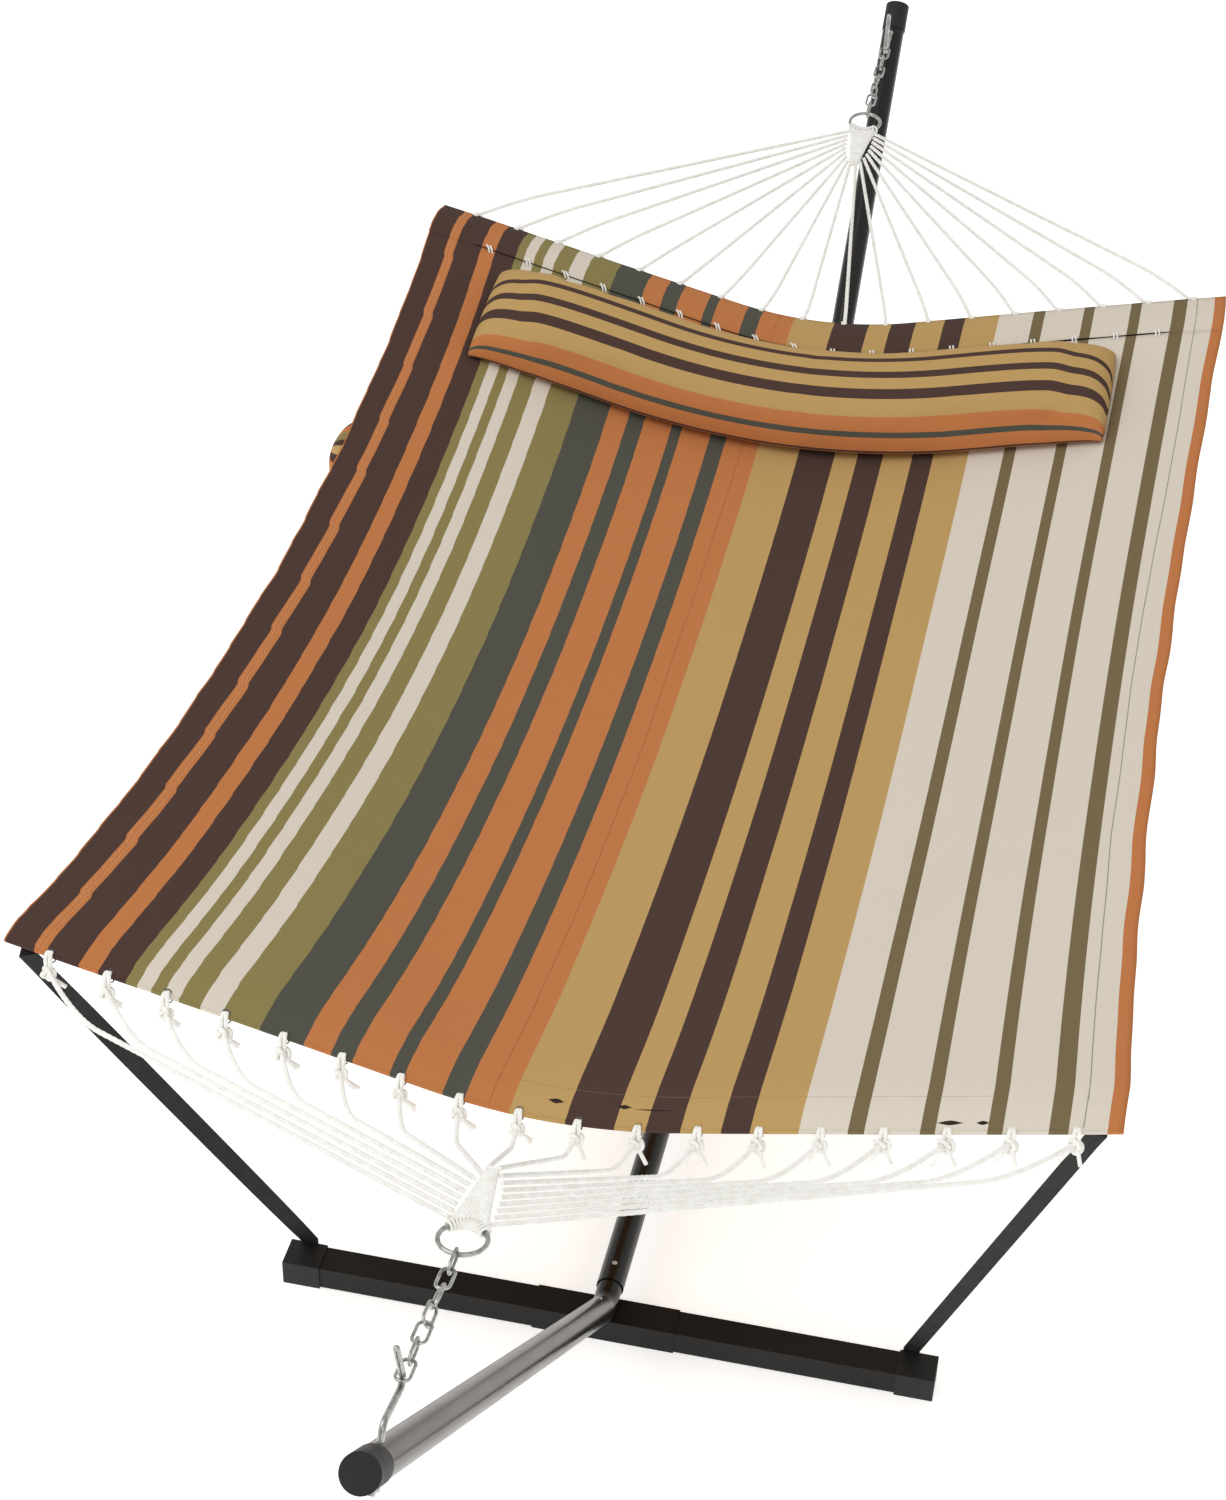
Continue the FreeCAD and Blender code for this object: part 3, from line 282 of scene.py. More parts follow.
def clew_runs():
    """Loops, lengthwise strands and woven rows of the foot end's clew."""
    up = Vector((0, math.sin(PULL_DROP), math.cos(PULL_DROP)))
    side = Vector((1, 0, 0))
    wire = RING_MIDDLE + PULL * RING_RADIUS
    loops, lengths, rows = [], [], []
    for i in range(CLEW_LOOPS):
        share = 2 * i / (CLEW_LOOPS - 1) - 1
        turn = math.asin(share * CLEW_HALF * 0.93 / RING_RADIUS)
        outward = side * math.sin(turn) + PULL * math.cos(turn)
        middle = RING_MIDDLE + outward * RING_RADIUS
        reach = 0.0058
        loops.append([
            middle + outward * reach * 1.25 * math.cos(a) + up * reach * math.sin(a)
            for a in [2 * math.pi * k / 8 for k in range(8)]
        ])
        for face in (1, -1):
            line = []
            for k in range(25):
                gone = k / 24
                half = CLEW_HALF + (CLEW_TIP - CLEW_HALF) * gone ** 0.85
                lift = math.cos(math.pi * (k + i)) * 0.0011 + 0.0028 * (1 - 0.3 * gone)
                start_back = 0.0095 * share * share * (1 - gone) ** 3
                line.append(
                    wire + PULL * (0.006 + gone * (CLEW_LENGTH - 0.004) - start_back)
                    + side * share * half * 0.86 + up * face * lift
                )
            lengths.append(line)
    for j in range(CLEW_ROWS):
        gone = (j + 0.6) / CLEW_ROWS
        half = CLEW_HALF + (CLEW_TIP - CLEW_HALF) * gone ** 0.85
        for face in (1, -1):
            row = []
            for k in range(CLEW_LOOPS + 2):
                share = 2 * k / (CLEW_LOOPS + 1) - 1
                lift = math.cos(math.pi * (j + k)) * 0.0014 + 0.003
                fall = 0.003 * (1 - abs(share)) + 0.006 * share * share * (1 - gone)
                row.append(
                    wire + PULL * (0.008 + gone * (CLEW_LENGTH - 0.012) - fall)
                    + side * share * half + up * face * lift * (1 - share ** 6 * 0.6)
                )
            rows.append(row)
    return loops, lengths, rows


for end, along in ENDS.items():
    loops, lengths, rows = clew_runs()
    meshes = [
        strands("clew_loops", loops, STRAND * 0.85, closed=True),
        strands("clew_lengths", lengths, STRAND),
        strands("clew_rows", rows, STRAND * 1.05),
    ]
    if along > 0:
        for mesh in meshes:
            mesh.transform(Matrix.Rotation(math.pi, 4, "Z"))
    clew = joined(f"{end}_woven_clew", meshes, [rope_finish])
    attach(clew, "hammock")
    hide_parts(f"{end}_clew")

# Knots -------------------------------------------------------------------------------------------
# Each rope comes up through an eyelet in the hem, turns over the edge and is tied to itself in a
# small round knot. The two cut tails hang below it, and on the foot's left they curl aside.
KNOT_ROPE = 0.0031
KNOT_DROP = 0.005
KNOT_POINTS = 24
HEM_THICKNESS = 0.0142
RIM_RADIUS = 0.0048
RIM_WIRE = 0.0009
HEM_PULLS = {"foot": (0.0165, 0.009), "head": (0.002, 0.009)}
random.seed(7)


def hem_pull(x, end):
    """How far the ropes lift the edge of the hem above the level of the bar."""
    left, right = HEM_PULLS[end]
    share = min(1, max(0, x + 0.5))
    return left + (right - left) * share * share * (3 - 2 * share)


def knot_runs(x, top, curled):
    """Turns of the knot, then its loop over the hem and its two tails, at the foot end."""
    knot = Vector((x, -HEM_END - KNOT_OUT, BAR_LOW + bar_rise(x) - KNOT_DROP))
    lean = random.uniform(-0.5, 0.5)
    size = random.uniform(1.0, 1.25)
    turns = []
    for k in range(KNOT_POINTS):
        a = 4 * math.pi * k / KNOT_POINTS
        b = 6 * math.pi * k / KNOT_POINTS
        spread = (0.0062 + 0.0022 * math.cos(b)) * size
        turns.append(knot + Vector((
            spread * math.cos(a + lean), 0.004 * size * math.sin(b),
            spread * math.sin(a + lean),
        )))
    runs = []
    edge = BAR_LOW + bar_rise(x) + top
    for side in (-0.0024, 0.0024):
        runs.append([
            Vector((x + side * 0.5, -HEM_END + 0.0052, edge - 0.004)),
            Vector((x + side * 0.8, -HEM_END + 0.0045, edge + 0.0014)),
            Vector((x + side, -HEM_END - 0.0015, edge + 0.001)),
            Vector((x + side * 1.4, -HEM_END - 0.0042, edge - 0.002)),
            knot + Vector((side, 0.0015, 0.001)),
        ])
    for way in (-1, 1):
        length = random.uniform(0.024, 0.031)
        if curled:
            aim = Vector((0.75 + 0.2 * way, -0.25 - 0.25 * way, -0.45))
        else:
            aim = Vector((way * random.uniform(0.4, 0.6) + lean * 0.3, -0.4, -0.8))
        tip = knot + aim.normalized() * length
        bow = Vector((way * 0.002, -0.003, 0.002))
        runs.append([knot, knot + aim * 0.005 + bow, (knot + tip) / 2 + bow * 0.8, tip])
    return turns, runs


def hem_eyelet(x, top):
    """Rolled rims of a hem eyelet at the foot end, above and below the cloth."""
    steep = bar_rise(abs(x) + 0.001) - bar_rise(abs(x) - 0.001)
    steep = math.copysign(steep / 0.002, x)
    side = Vector((1, 0, steep)).normalized()
    middle = Vector((x, -HEM_END + 0.0065, BAR_LOW + bar_rise(x)))
    return [
        [
            middle + Vector((0, 0, up)) + side * (RIM_RADIUS * math.cos(a))
            + Vector((0, RIM_RADIUS * math.sin(a), 0))
            for a in [math.pi * k / 4 for k in range(8)]
        ]
        for up in (top - 0.0003, top - 0.0003 - HEM_THICKNESS)
    ]


for end, along in ENDS.items():
    round_turns, ends_of_rope, rims = [], [], []
    for number in range(-ROPES_A_SIDE, ROPES_A_SIDE):
        x = (number + 0.5) * ROPE_PITCH
        top = hem_pull(-along * x, end) + 0.003
        turns, runs = knot_runs(x, top, along < 0 and x < 0)
        round_turns.append(turns)
        ends_of_rope += runs
        rims += hem_eyelet(x, top)
    knot_meshes = [
        strands("knot_turns", round_turns, KNOT_ROPE, closed=True),
        strands("knot_tails", ends_of_rope, KNOT_ROPE * 0.95),
    ]
    rim_meshes = [strands("eyelet_rims", rims, RIM_WIRE, closed=True)]
    if along > 0:
        for mesh in knot_meshes + rim_meshes:
            mesh.transform(Matrix.Rotation(math.pi, 4, "Z"))
    knots = joined(f"{end}_rope_knots", knot_meshes, [rope_finish])
    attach(knots, "hammock")
    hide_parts(f"{end}_knots")
    eyelets = joined(f"{end}_hem_eyelets", rim_meshes, [])
    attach(eyelets, "hammock")
    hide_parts(f"{end}_eyelets")

# Stand tubes -------------------------------------------------------------------------------------
# Round and square steel tube with a gloss black powder coat, smooth but for a little orange peel.


def wear(node, finish):
    """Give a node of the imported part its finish."""
    mesh = nodes[node].data
    mesh.materials.clear()
    mesh.materials.append(finish)


def powder_coat():
    coat = new_finish("black_powder_coat", IOR=1.5, Specular_IOR_Level=0.32,
                      Coat_Weight=0.08, Coat_Roughness=0.1)
    shade(coat, grain(coat, 6, 2), dye("0B0A09"), dye("100E0C"))
    shade(coat, grain(coat, 9, 1), 0.25, 0.28, "Roughness")
    relief(coat, grain(coat, 60, 1), 0.00002, 0.1)
    return coat


def satin_coat():
    """The same powder coat as it looks on the box section, with less gloss."""
    coat = new_finish("black_satin_coat", IOR=1.45, Specular_IOR_Level=0.3)
    shade(coat, grain(coat, 8, 2), dye("0C0B0A"), dye("131110"))
    shade(coat, grain(coat, 14, 2), 0.42, 0.52, "Roughness")
    relief(coat, grain(coat, 500, 2), 0.00004, 0.2)
    return coat


gloss_black, satin_black = powder_coat(), satin_coat()
wear("base_tube", gloss_black)
for end in ENDS:
    for piece in ("arm", "elbow", "saddle"):
        wear(f"{end}_{piece}", gloss_black)
    for piece in ("crossbar_sleeve", "crossbar_left", "crossbar_right"):
        wear(f"{end}_{piece}", satin_black)

# Plastic caps ------------------------------------------------------------------------------------
# Matt black moulded caps, pushed over the arms' ends and the ends of the crossbars, which rest
# on them.


def moulded_black():
    plastic = new_finish("moulded_black", IOR=1.46, Specular_IOR_Level=0.35)
    shade(plastic, grain(plastic, 25), dye("1A1A1A"), dye("222222"))
    shade(plastic, grain(plastic, 80), 0.5, 0.62, "Roughness")
    relief(plastic, grain(plastic, 1500, 2), 0.00008, 0.3)
    return plastic


cap_black = moulded_black()
for end in ENDS:
    for piece in ("arm_cap", "left_foot_cap", "right_foot_cap"):
        wear(f"{end}_{piece}", cap_black)

# Zinc plate --------------------------------------------------------------------------------------
# Hooks, chains and rings are bent or welded steel with a bright zinc plate, a little cloudy. The
# screws, rivets, nuts and snap buttons have the same finish, and the springs are plain steel.


def zinc_plate(name, dark, light, rough):
    plate = new_finish(name, Metallic=1.0)
    shade(plate, grain(plate, 120), dye(dark), dye(light))
    shade(plate, grain(plate, 60), rough - 0.08, rough + 0.1, "Roughness")
    relief(plate, grain(plate, 400, 2), 0.0001, 0.25)
    return plate


bright_zinc = zinc_plate("bright_zinc", "8C8C88", "C0C0BC", 0.27)
spring_steel = zinc_plate("spring_steel", "4A4A4C", "6A6A6C", 0.4)
for node in ["sleeve_screws", "tab_rivets"]:
    wear(node, bright_zinc)
wear("button_springs", spring_steel)
for end in ENDS:
    for piece in ("hook", "hook_nut", "chain", "ring", "base_button", "arm_button"):
        wear(f"{end}_{piece}", bright_zinc)

# Spreader bars and eyelets -----------------------------------------------------------------------
# Each bar is steam-bent hardwood, stained dark brown. The eyelets are plated dark grey and
# pressed through the hem.


def stained_wood():
    wood = new_finish("stained_wood", Coat_Weight=0.2, Coat_Roughness=0.3)
    shade(wood, grain(wood, 30, 6, (0.08, 1, 1)), dye("1E120E"), dye("3A241B"))
    shade(wood, grain(wood, 80, 4, (0.1, 1, 1)), 0.4, 0.6, "Roughness")
    relief(wood, grain(wood, 240, 4, (0.05, 1, 1)), 0.0003, 0.4)
    return wood


bar_wood = stained_wood()
eyelet_grey = zinc_plate("eyelet_grey", "4C4C4A", "767672", 0.42)
for end in ENDS:
    wear(f"{end}_spreader_bar", bar_wood)
    bpy.data.objects[f"{end}_hem_eyelets"].data.materials.append(eyelet_grey)

# Bed ---------------------------------------------------------------------------------------------
# Two layers of woven polyester, quilted over a thin filling, with lengthwise stripes. Each end is
# turned back into a sleeve for its spreader bar, and each side has a stitched hem.
SEAM = 0.972
BED_HALF = 0.7
BED_WAIST = 0.017
BED_SAG = 0.098
BED_RISE = 0.143
BED_BEND = 1.65
BAR_PLACE = 1.005
BAR_COVER = 0.0145
QUILT = 0.004
SLIT_PLACE = 0.95
DARK, ORANGE, OLIVE, CREAM, SLATE, TAN, MOSS = (
    "4E3A34", "C17A48", "8C8050", "DBD1C2", "525249", "BE9B62", "78694B",
)
STRIPES = [
    (ORANGE, 2), (DARK, 36), (ORANGE, 16), (DARK, 43), (ORANGE, 25), (DARK, 36), (OLIVE, 15),
    (CREAM, 18), (OLIVE, 16), (CREAM, 20), (OLIVE, 28), (CREAM, 28), (OLIVE, 50), (SLATE, 57),
    (ORANGE, 35), (SLATE, 28), (ORANGE, 48), (SLATE, 18), (ORANGE, 51), (SLATE, 28),
    (ORANGE, 58), (TAN, 72), (DARK, 63), (TAN, 40), (DARK, 44), (TAN, 51), (DARK, 36),
    (TAN, 60), (CREAM, 60), (MOSS, 20), (CREAM, 67), (MOSS, 18), (CREAM, 62), (MOSS, 18),
    (CREAM, 54), (MOSS, 23), (CREAM, 46), (ORANGE, 19),
]


def bed_height(x, y):
    """Height of the cloth's middle layer: flat along the sleeves, sagging between them."""
    share = max(0, 1 - (y / SEAM) ** 2)
    half = BED_HALF - BED_WAIST * share
    rise = bar_rise(BED_HALF) + (BED_RISE - bar_rise(BED_HALF)) * share
    bend = BAR_BEND + (BED_BEND - BAR_BEND) * share
    reach = math.hypot(half, bend - rise)
    slope = math.asin(bend / reach) - math.atan2(bend - rise, half)
    low = BAR_LOW - BED_SAG * share
    bent = bend * math.sin(slope)
    if abs(x) < bent:
        return low + bend - math.sqrt(bend * bend - x * x)
    return low + bend * (1 - math.cos(slope)) + (abs(x) - bent) * math.tan(slope)


def bump_over(distance, reach):
    """A smooth hill of height 1, as wide as reach each way."""
    return 0.5 + 0.5 * math.cos(math.pi * min(1, abs(distance) / reach))


def stripe_columns(widest):
    """Places across the cloth for the mesh's columns, and the colour between each pair."""
    places, colours = [-BED_HALF - 0.006], []
    for colour, width in STRIPES:
        start = places[-1]
        steps = max(1, math.ceil(width / 1000 / widest))
        for k in range(steps):
            places.append(start + width / 1000 * (k + 1) / steps)
            colours.append(colour)
    return places, colours


def slit_opening(x):
    """How far the head sleeve's seam gapes at x, as a share of its widest."""
    if x < 0.38:
        return 0.12 if abs(x) < 0.62 else 0
    ripple = 0.55 + 0.45 * math.sin(x * 46)
    return ripple * bump_over(x - 0.5, 0.15)


def cloth_rows():
    """Places along the cloth for the mesh's rows, closer together at the seams."""
    steps = 176
    rows = [-HEM_END + 2 * HEM_END * i / steps for i in range(steps + 1)]
    seams = [SLIT_PLACE + d for d in (-0.0022, 0, 0.0022)]
    rows = [r for r in rows if min(abs(r - s) for s in seams) > 0.004] + seams
    return sorted(rows)


def steps_of(y, length):
    """Share of the way through a crease that comes back every length along the cloth."""
    return (y / length) % 1


def hem_lift(x, y, out):
    """Lift of the hem at a distance out from the middle of the bed, at the end that y is at."""
    share = min(1, max(0, (out - SEAM) / (HEM_END - SEAM)))
    return hem_pull(x, "foot" if y < 0 else "head") * share


def top_lift(x, y):
    """Quilting, ripples and the cover of the bar, above the cloth's middle layer."""
    out = abs(y)
    cover = BAR_COVER - hem_lift(x, y, BAR_PLACE) - QUILT
    bar = cover * bump_over(out - BAR_PLACE, 0.28 if out < BAR_PLACE else 0.06)
    flat = QUILT - 0.001 * bump_over(out - HEM_END, 0.04)
    left = min(1, max(0, (0.05 - x) / 0.5))
    calm = min(1, max(0, (0.93 - out) / 0.1))
    ripple = 0.0004 * math.sin(y * 78 + 6 * noise.noise((x * 1.5, y * 2, 0))) * left
    fill = 0.0013 * noise.noise((x * 5, y * 4, 3.1)) + 0.0006 * noise.noise((x * 16, y * 12, 7))
    seam = -0.001 * bump_over(out - 0.993, 0.007)
    return bar + flat + (ripple + fill) * calm + seam


def under_lift(x, y):
    """Thickness of the cloth below its middle layer, with the cover under the bar."""
    cover = BAR_COVER + hem_lift(x, y, BAR_PLACE) - 0.6 * QUILT
    bar = cover * bump_over(abs(y) - BAR_PLACE, 0.05)
    return bar + 0.6 * QUILT + 0.0008 * noise.noise((x * 6, y * 5, 9))


def striped_cloth(name):
    """Woven cloth whose colour is the yarn's, carried by the mesh."""
    cloth = new_finish(name, Roughness=0.9, Specular_IOR_Level=0.12)
    tree = cloth.node_tree
    yarn = tree.nodes.new("ShaderNodeAttribute")
    yarn.attribute_name = "yarn"
    faded = tree.nodes.new("ShaderNodeMix")
    faded.data_type = "RGBA"
    faded.blend_type = "MULTIPLY"
    faded.inputs["Factor"].default_value = 1
    ramp = tree.nodes.new("ShaderNodeValToRGB")
    ramp.color_ramp.elements[0].color = (0.9, 0.9, 0.9, 1)
    ramp.color_ramp.elements[1].color = (1, 1, 1, 1)
    tree.links.new(grain(cloth, 420, 3), ramp.inputs["Fac"])
    tree.links.new(yarn.outputs["Color"], faded.inputs[6])
    tree.links.new(ramp.outputs["Color"], faded.inputs[7])
    tree.links.new(faded.outputs[2], tree.nodes["Principled BSDF"].inputs["Base Color"])
    relief(cloth, grain(cloth, 900, 2, (0.35, 1, 1)), 0.0003, 0.3)
    relief(cloth, grain(cloth, 18, 3), 0.0012, 0.2)
    return cloth


def make_bed_cloth():
    places, colours = stripe_columns(0.011)
    rows = cloth_rows()
    bm = bmesh.new()
    yarn = bm.loops.layers.float_color.new("yarn")
    bmesh.ops.create_grid(bm, x_segments=len(places) - 1, y_segments=len(rows) - 1, size=1)
    across, along = len(places) - 1, len(rows) - 1
    # Faces down inside the head sleeve's gaping seam get a near-black brown: painted shade in the
    # slit, not a colour of the cloth.
    slit_painted_shade = dye("1A120F")
    for face in bm.faces:
        middle = face.calc_center_median()
        column = int((middle.x + 1) / 2 * across)
        row = int((middle.y + 1) / 2 * along)
        inside = abs((rows[row] + rows[row + 1]) / 2 - SLIT_PLACE) < 0.002
        in_slit_shade = inside and slit_opening((places[column] + places[column + 1]) / 2) > 0.05
        for loop in face.loops:
            loop[yarn] = slit_painted_shade if in_slit_shade else dye(colours[column])
        face.smooth = True
    top = list(bm.verts)
    spots = {}
    for vertex in top:
        column = round((vertex.co.x + 1) / 2 * across)
        row = round((vertex.co.y + 1) / 2 * along)
        spots[vertex] = (places[column], rows[row])
    copied = bmesh.ops.duplicate(bm, geom=list(bm.verts) + list(bm.edges) + list(bm.faces))
    under = [g for g in copied["geom"] if isinstance(g, bmesh.types.BMVert)]
    for vertex, below in zip(top, under):
        spots[below] = spots[vertex]
    bmesh.ops.reverse_faces(bm, faces=[
        g for g in copied["geom"] if isinstance(g, bmesh.types.BMFace)
    ])
    for vertex in top:
        x, y = spots[vertex]
        vertex.co = laid_cloth(x, y, 1)
    for vertex in under:
        x, y = spots[vertex]
        vertex.co = laid_cloth(x, y, -1)
    rims = [e for e in bm.edges if e.is_boundary]
    bmesh.ops.bridge_loops(bm, edges=rims)
    bmesh.ops.recalc_face_normals(bm, faces=list(bm.faces))
    mesh = bpy.data.meshes.new("bed_cloth")
    bm.to_mesh(mesh)
    bm.free()
    return mesh


def laid_cloth(x, y, face):
    """Place of a point of the cloth: face is 1 on top and -1 underneath."""
    share = max(0, 1 - (y / SEAM) ** 2)
    edge = min(1, max(0, (abs(x) - 0.64) / 0.06))
    left = min(1, max(0, (0.1 - x) / 0.5))
    pulled = 0.001 * (steps_of(y + x * 0.3, 0.074) - 0.5) * left
    if -0.668 < x < -0.65:
        pulled = 0.003 * (steps_of(y, 0.15) - 0.5)
    wave = 0.003 * edge * noise.noise((y * 9, x, 1.7))
    drift = 0.0012 * noise.noise((x * 2, y * 2, 5.5))
    across = x * (1 - BED_WAIST / BED_HALF * share) + pulled + drift + wave
    lift = top_lift(x, y) if face > 0 else -under_lift(x, y)
    thinned = 0.3 * edge * (1 - bump_over(abs(y) - BAR_PLACE, 0.06))
    z = bed_height(across, y) + hem_lift(x, y, abs(y)) + lift * (1 - thinned)
    gape = y - SLIT_PLACE
    if face > 0 and abs(gape) < 0.004:
        opening = slit_opening(x)
        if abs(gape) < 0.001:
            z -= 0.0015 + 0.011 * opening
        else:
            y = SLIT_PLACE + math.copysign(0.0008 + 0.0024 * opening, gape)
    return Vector((across, y, z))


cloth_finish = striped_cloth("striped_cloth")
bed = bpy.data.objects.new("bed_cloth", make_bed_cloth())
scene.collection.objects.link(bed)
bed.data.materials.append(cloth_finish)
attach(bed, "hammock")
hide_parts("bed", "foot_bar_sleeve", "head_bar_sleeve")

# Stitching ---------------------------------------------------------------------------------------
# The left hem is sewn with a pale zigzag along its orange stripe and the right hem with one grey
# line. Thread of the cloth's own colours closes the foot sleeve and joins two widths of cloth.
THREAD_PROUD = 0.0002
THREAD_END = 0.006
THREAD_STEP = 0.012


def thread_along(x, wander, zigzag, step):
    """Thread down the length of the cloth at x, lying on its top face."""
    count = round(2 * (HEM_END - THREAD_END) / step)
    run = []
    for k in range(count + 1):
        y = -HEM_END + THREAD_END + k * step
        place = x + zigzag * (-1) ** k + wander * noise.noise((y * 3, x, 2.2))
        run.append(laid_cloth(place, y, 1) + Vector((0, 0, THREAD_PROUD)))
    return run


def thread_across(y, start, finish):
    """Thread across the cloth at y."""
    count = round((finish - start) / THREAD_STEP)
    return [
        laid_cloth(
            start + (finish - start) * k / count, y + 0.0012 * noise.noise((k * 0.2, y, 0)), 1,
        ) + Vector((0, 0, THREAD_PROUD))
        for k in range(count + 1)
    ]


def cotton_thread(name, code):
    """Thread in one dye, a little paler where it catches the light."""
    thread = new_finish(name, Roughness=0.8, Specular_IOR_Level=0.2)
    shade(thread, grain(thread, 300), dye(code), [1.25 * c for c in dye(code)[:3]] + [1])
    relief(thread, grain(thread, 2500, 2), 0.0001, 0.4)
    return thread


for name, code, runs, thickness in (
    ("left_hem_stitching", "D9A272",
     [thread_along(x, 0, 0.0011, 0.0065) for x in (-0.6635, -0.6575)], 0.0004),
    ("right_hem_stitching", "8E8A80", [thread_along(0.655, 0.006, 0, THREAD_STEP)], 0.0006),
    ("width_seam", "A5623A", [thread_along(-0.078, 0.004, 0, THREAD_STEP)], 0.00028),
    ("foot_sleeve_stitching", "8C7350", [thread_across(-0.993, -0.084, 0.549)], 0.00035),
):
    sewn = joined(name, [strands(name, runs, thickness, sides=4)], [cotton_thread(name, code)])
    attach(sewn, "hammock")

# Folds and loops ---------------------------------------------------------------------------------
# Short lens shapes of painted shade mark where the foot hem is folded under. White cord ties the
# head sleeve shut with a loop every hand's width.
TUCK_SHADES = [
    (0.003, -1.022, 0.022, 0.009), (0.09, -1.018, 0.020, 0.008), (0.128, -1.021, 0.05, 0.0025),
    (0.497, -1.041, 0.034, 0.008), (0.536, -1.041, 0.017, 0.007),
]
LOOP_PITCH = 0.07


def make_tuck_shades():
    """Lens-shaped patches of painted shade on the hem's folds: width and depth of each follow its
    place.
    """
    bm = bmesh.new()
    for x, y, width, depth in TUCK_SHADES:
        made = bmesh.ops.create_uvsphere(bm, u_segments=20, v_segments=8, radius=0.5)["verts"]
        for vertex in made:
            c = vertex.co
            pointed = 1 - abs(2 * c.x) ** 1.5
            spot = laid_cloth(x + c.x * width, y + c.y * depth * max(pointed, 0.05), 1)
            vertex.co = spot + Vector((0, 0, 0.0006 * c.z * 2))
    mesh = bpy.data.meshes.new("hem_tuck_shades")
    bm.to_mesh(mesh)
    bm.free()
    return mesh


def sleeve_loops():
    """Cord loops over the head sleeve's seam."""
    loops = []
    for k in range(-9, 9):
        x = (k + 0.5) * LOOP_PITCH
        if abs(x) > 0.6:
            continue
        slant = 0.004 if x < 0 else 0.0016
        for side in (-1, 1):
            foot = laid_cloth(x + side * 0.0028 - slant, SLIT_PLACE + 0.0065, 1)
            tip = laid_cloth(x + side * 0.0028 + slant, SLIT_PLACE - 0.0065, 1)
            over = (foot + tip) / 2 + Vector((0, 0, 0.0048))
            loops.append([foot - Vector((0, 0, 0.002)), foot + Vector((0, 0, 0.003)), over,
                          tip + Vector((0, 0, 0.003)), tip - Vector((0, 0, 0.002))])
    return loops


# The lens shapes are painted shade: a near-black brown where the folded hem keeps out the light.
tuck_painted_shade = new_finish("tuck_shadow", Roughness=0.95, Specular_IOR_Level=0.1)
shade(tuck_painted_shade, grain(tuck_painted_shade, 120), dye("2A211C"), dye("3A2E28"))
tuck_shades = bpy.data.objects.new("hem_tuck_shades", make_tuck_shades())
scene.collection.objects.link(tuck_shades)
tuck_shades.data.materials.append(tuck_painted_shade)
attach(tuck_shades, "hammock")
loops = joined("head_sleeve_loops", [strands("loops", sleeve_loops(), 0.0016)], [rope_finish])
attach(loops, "hammock")

# Straps ------------------------------------------------------------------------------------------
# Black polyester webbing, sewn round the spreader bar's ends and riveted behind the foot caps.
# The four of them hold the bed level.
STRAP_WIDTH = 0.025
STRAP_THICKNESS = 0.002


def black_webbing():
    webbing = new_finish("black_webbing", Roughness=0.85, Specular_IOR_Level=0.2)
    shade(webbing, grain(webbing, 40), dye("232323"), dye("2C2C2C"))
    relief(webbing, grain(webbing, 900, 2), 0.0003, 0.6)
    return webbing


def strap_frames(way):
    """Middle and widthwise direction of the foot end's strap, from the rivet to the bar."""
    shift = -0.006
    root = Vector((way * 0.4685 + shift, -0.6396, 0.0444))
    top = Vector((way * 0.6775 + shift, -1.040, BAR_LOW + bar_rise(0.6775) - 0.009))
    tail = root + Vector((0, 0, -0.031))
    level = Vector((1, 0, 0))
    tilted = Vector((math.cos(BAR_SLOPE), 0, way * math.sin(BAR_SLOPE)))
    frames = [(tail, level), (tail.lerp(root, 0.5), level), (root - Vector((0, 0, 0.002)), level)]
    steps = 24
    for k in range(steps + 1):
        gone = k / steps
        line = root.lerp(top, gone)
        frames.append((line + Vector((0, 0, 0.002 * (1 - gone))), level.lerp(tilted, gone ** 3)))
    frames.append((top + Vector((0, 0.012, 0.0035)), tilted))
    return frames


def make_strap(name, way, along, twist):
    """Webbing ribbon down the strap's frames, turned by twist in the middle of its free run."""
    frames = strap_frames(way)
    last = len(frames) - 1
    bm = bmesh.new()
    bmesh.ops.create_grid(bm, x_segments=2, y_segments=last, size=1)
    for vertex in bm.verts:
        i = round((vertex.co.y + 1) / 2 * last)
        middle, width = frames[i]
        run = (frames[min(i + 1, last)][0] - frames[max(i - 1, 0)][0]).normalized()
        width = (width - run * width.dot(run)).normalized()
        share = max(0, i - 2) / (last - 2)
        turned = Quaternion(run, twist * max(0, math.sin(math.pi * share)) ** 0.5)
        vertex.co = middle + turned @ width * (vertex.co.x / 2 * STRAP_WIDTH)
    bmesh.ops.recalc_face_normals(bm, faces=list(bm.faces))
    bmesh.ops.solidify(bm, geom=list(bm.faces), thickness=STRAP_THICKNESS * 0.8)
    bmesh.ops.recalc_face_normals(bm, faces=list(bm.faces))
    if along > 0:
        bmesh.ops.rotate(bm, verts=list(bm.verts), matrix=Matrix.Rotation(math.pi, 3, "Z"))
    mesh = bpy.data.meshes.new(name)
    bm.to_mesh(mesh)
    bm.free()
    strap = bpy.data.objects.new(name, mesh)
    scene.collection.objects.link(strap)
    return strap


webbing_black = black_webbing()
for end, along in ENDS.items():
    for side, way in SIDES.items():
        twist = math.radians(48) if (end, side) == ("foot", "left") else 0
        strap = make_strap(f"{end}_webbing_{side}", way * -along, along, twist)
        strap.data.materials.append(webbing_black)
        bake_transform(strap)
        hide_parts(f"{end}_strap_{side}", "strap_tabs")

# Pillow ------------------------------------------------------------------------------------------
# A long pillow of the same cloth, filled with soft fibre. Its stripes run lengthwise, and its
# seam lies low on the front. The middle is plump, and both ends are drawn down to the bed.
PILLOW_LENGTH = 1.11
PILLOW_DEPTH = 0.232
PILLOW_THICKNESS = 0.087
PILLOW_PLACE = 0.783
PILLOW_SHIFT = -0.015
PILLOW_GAP = 0.0055
PILLOW_SEAM = 0.13
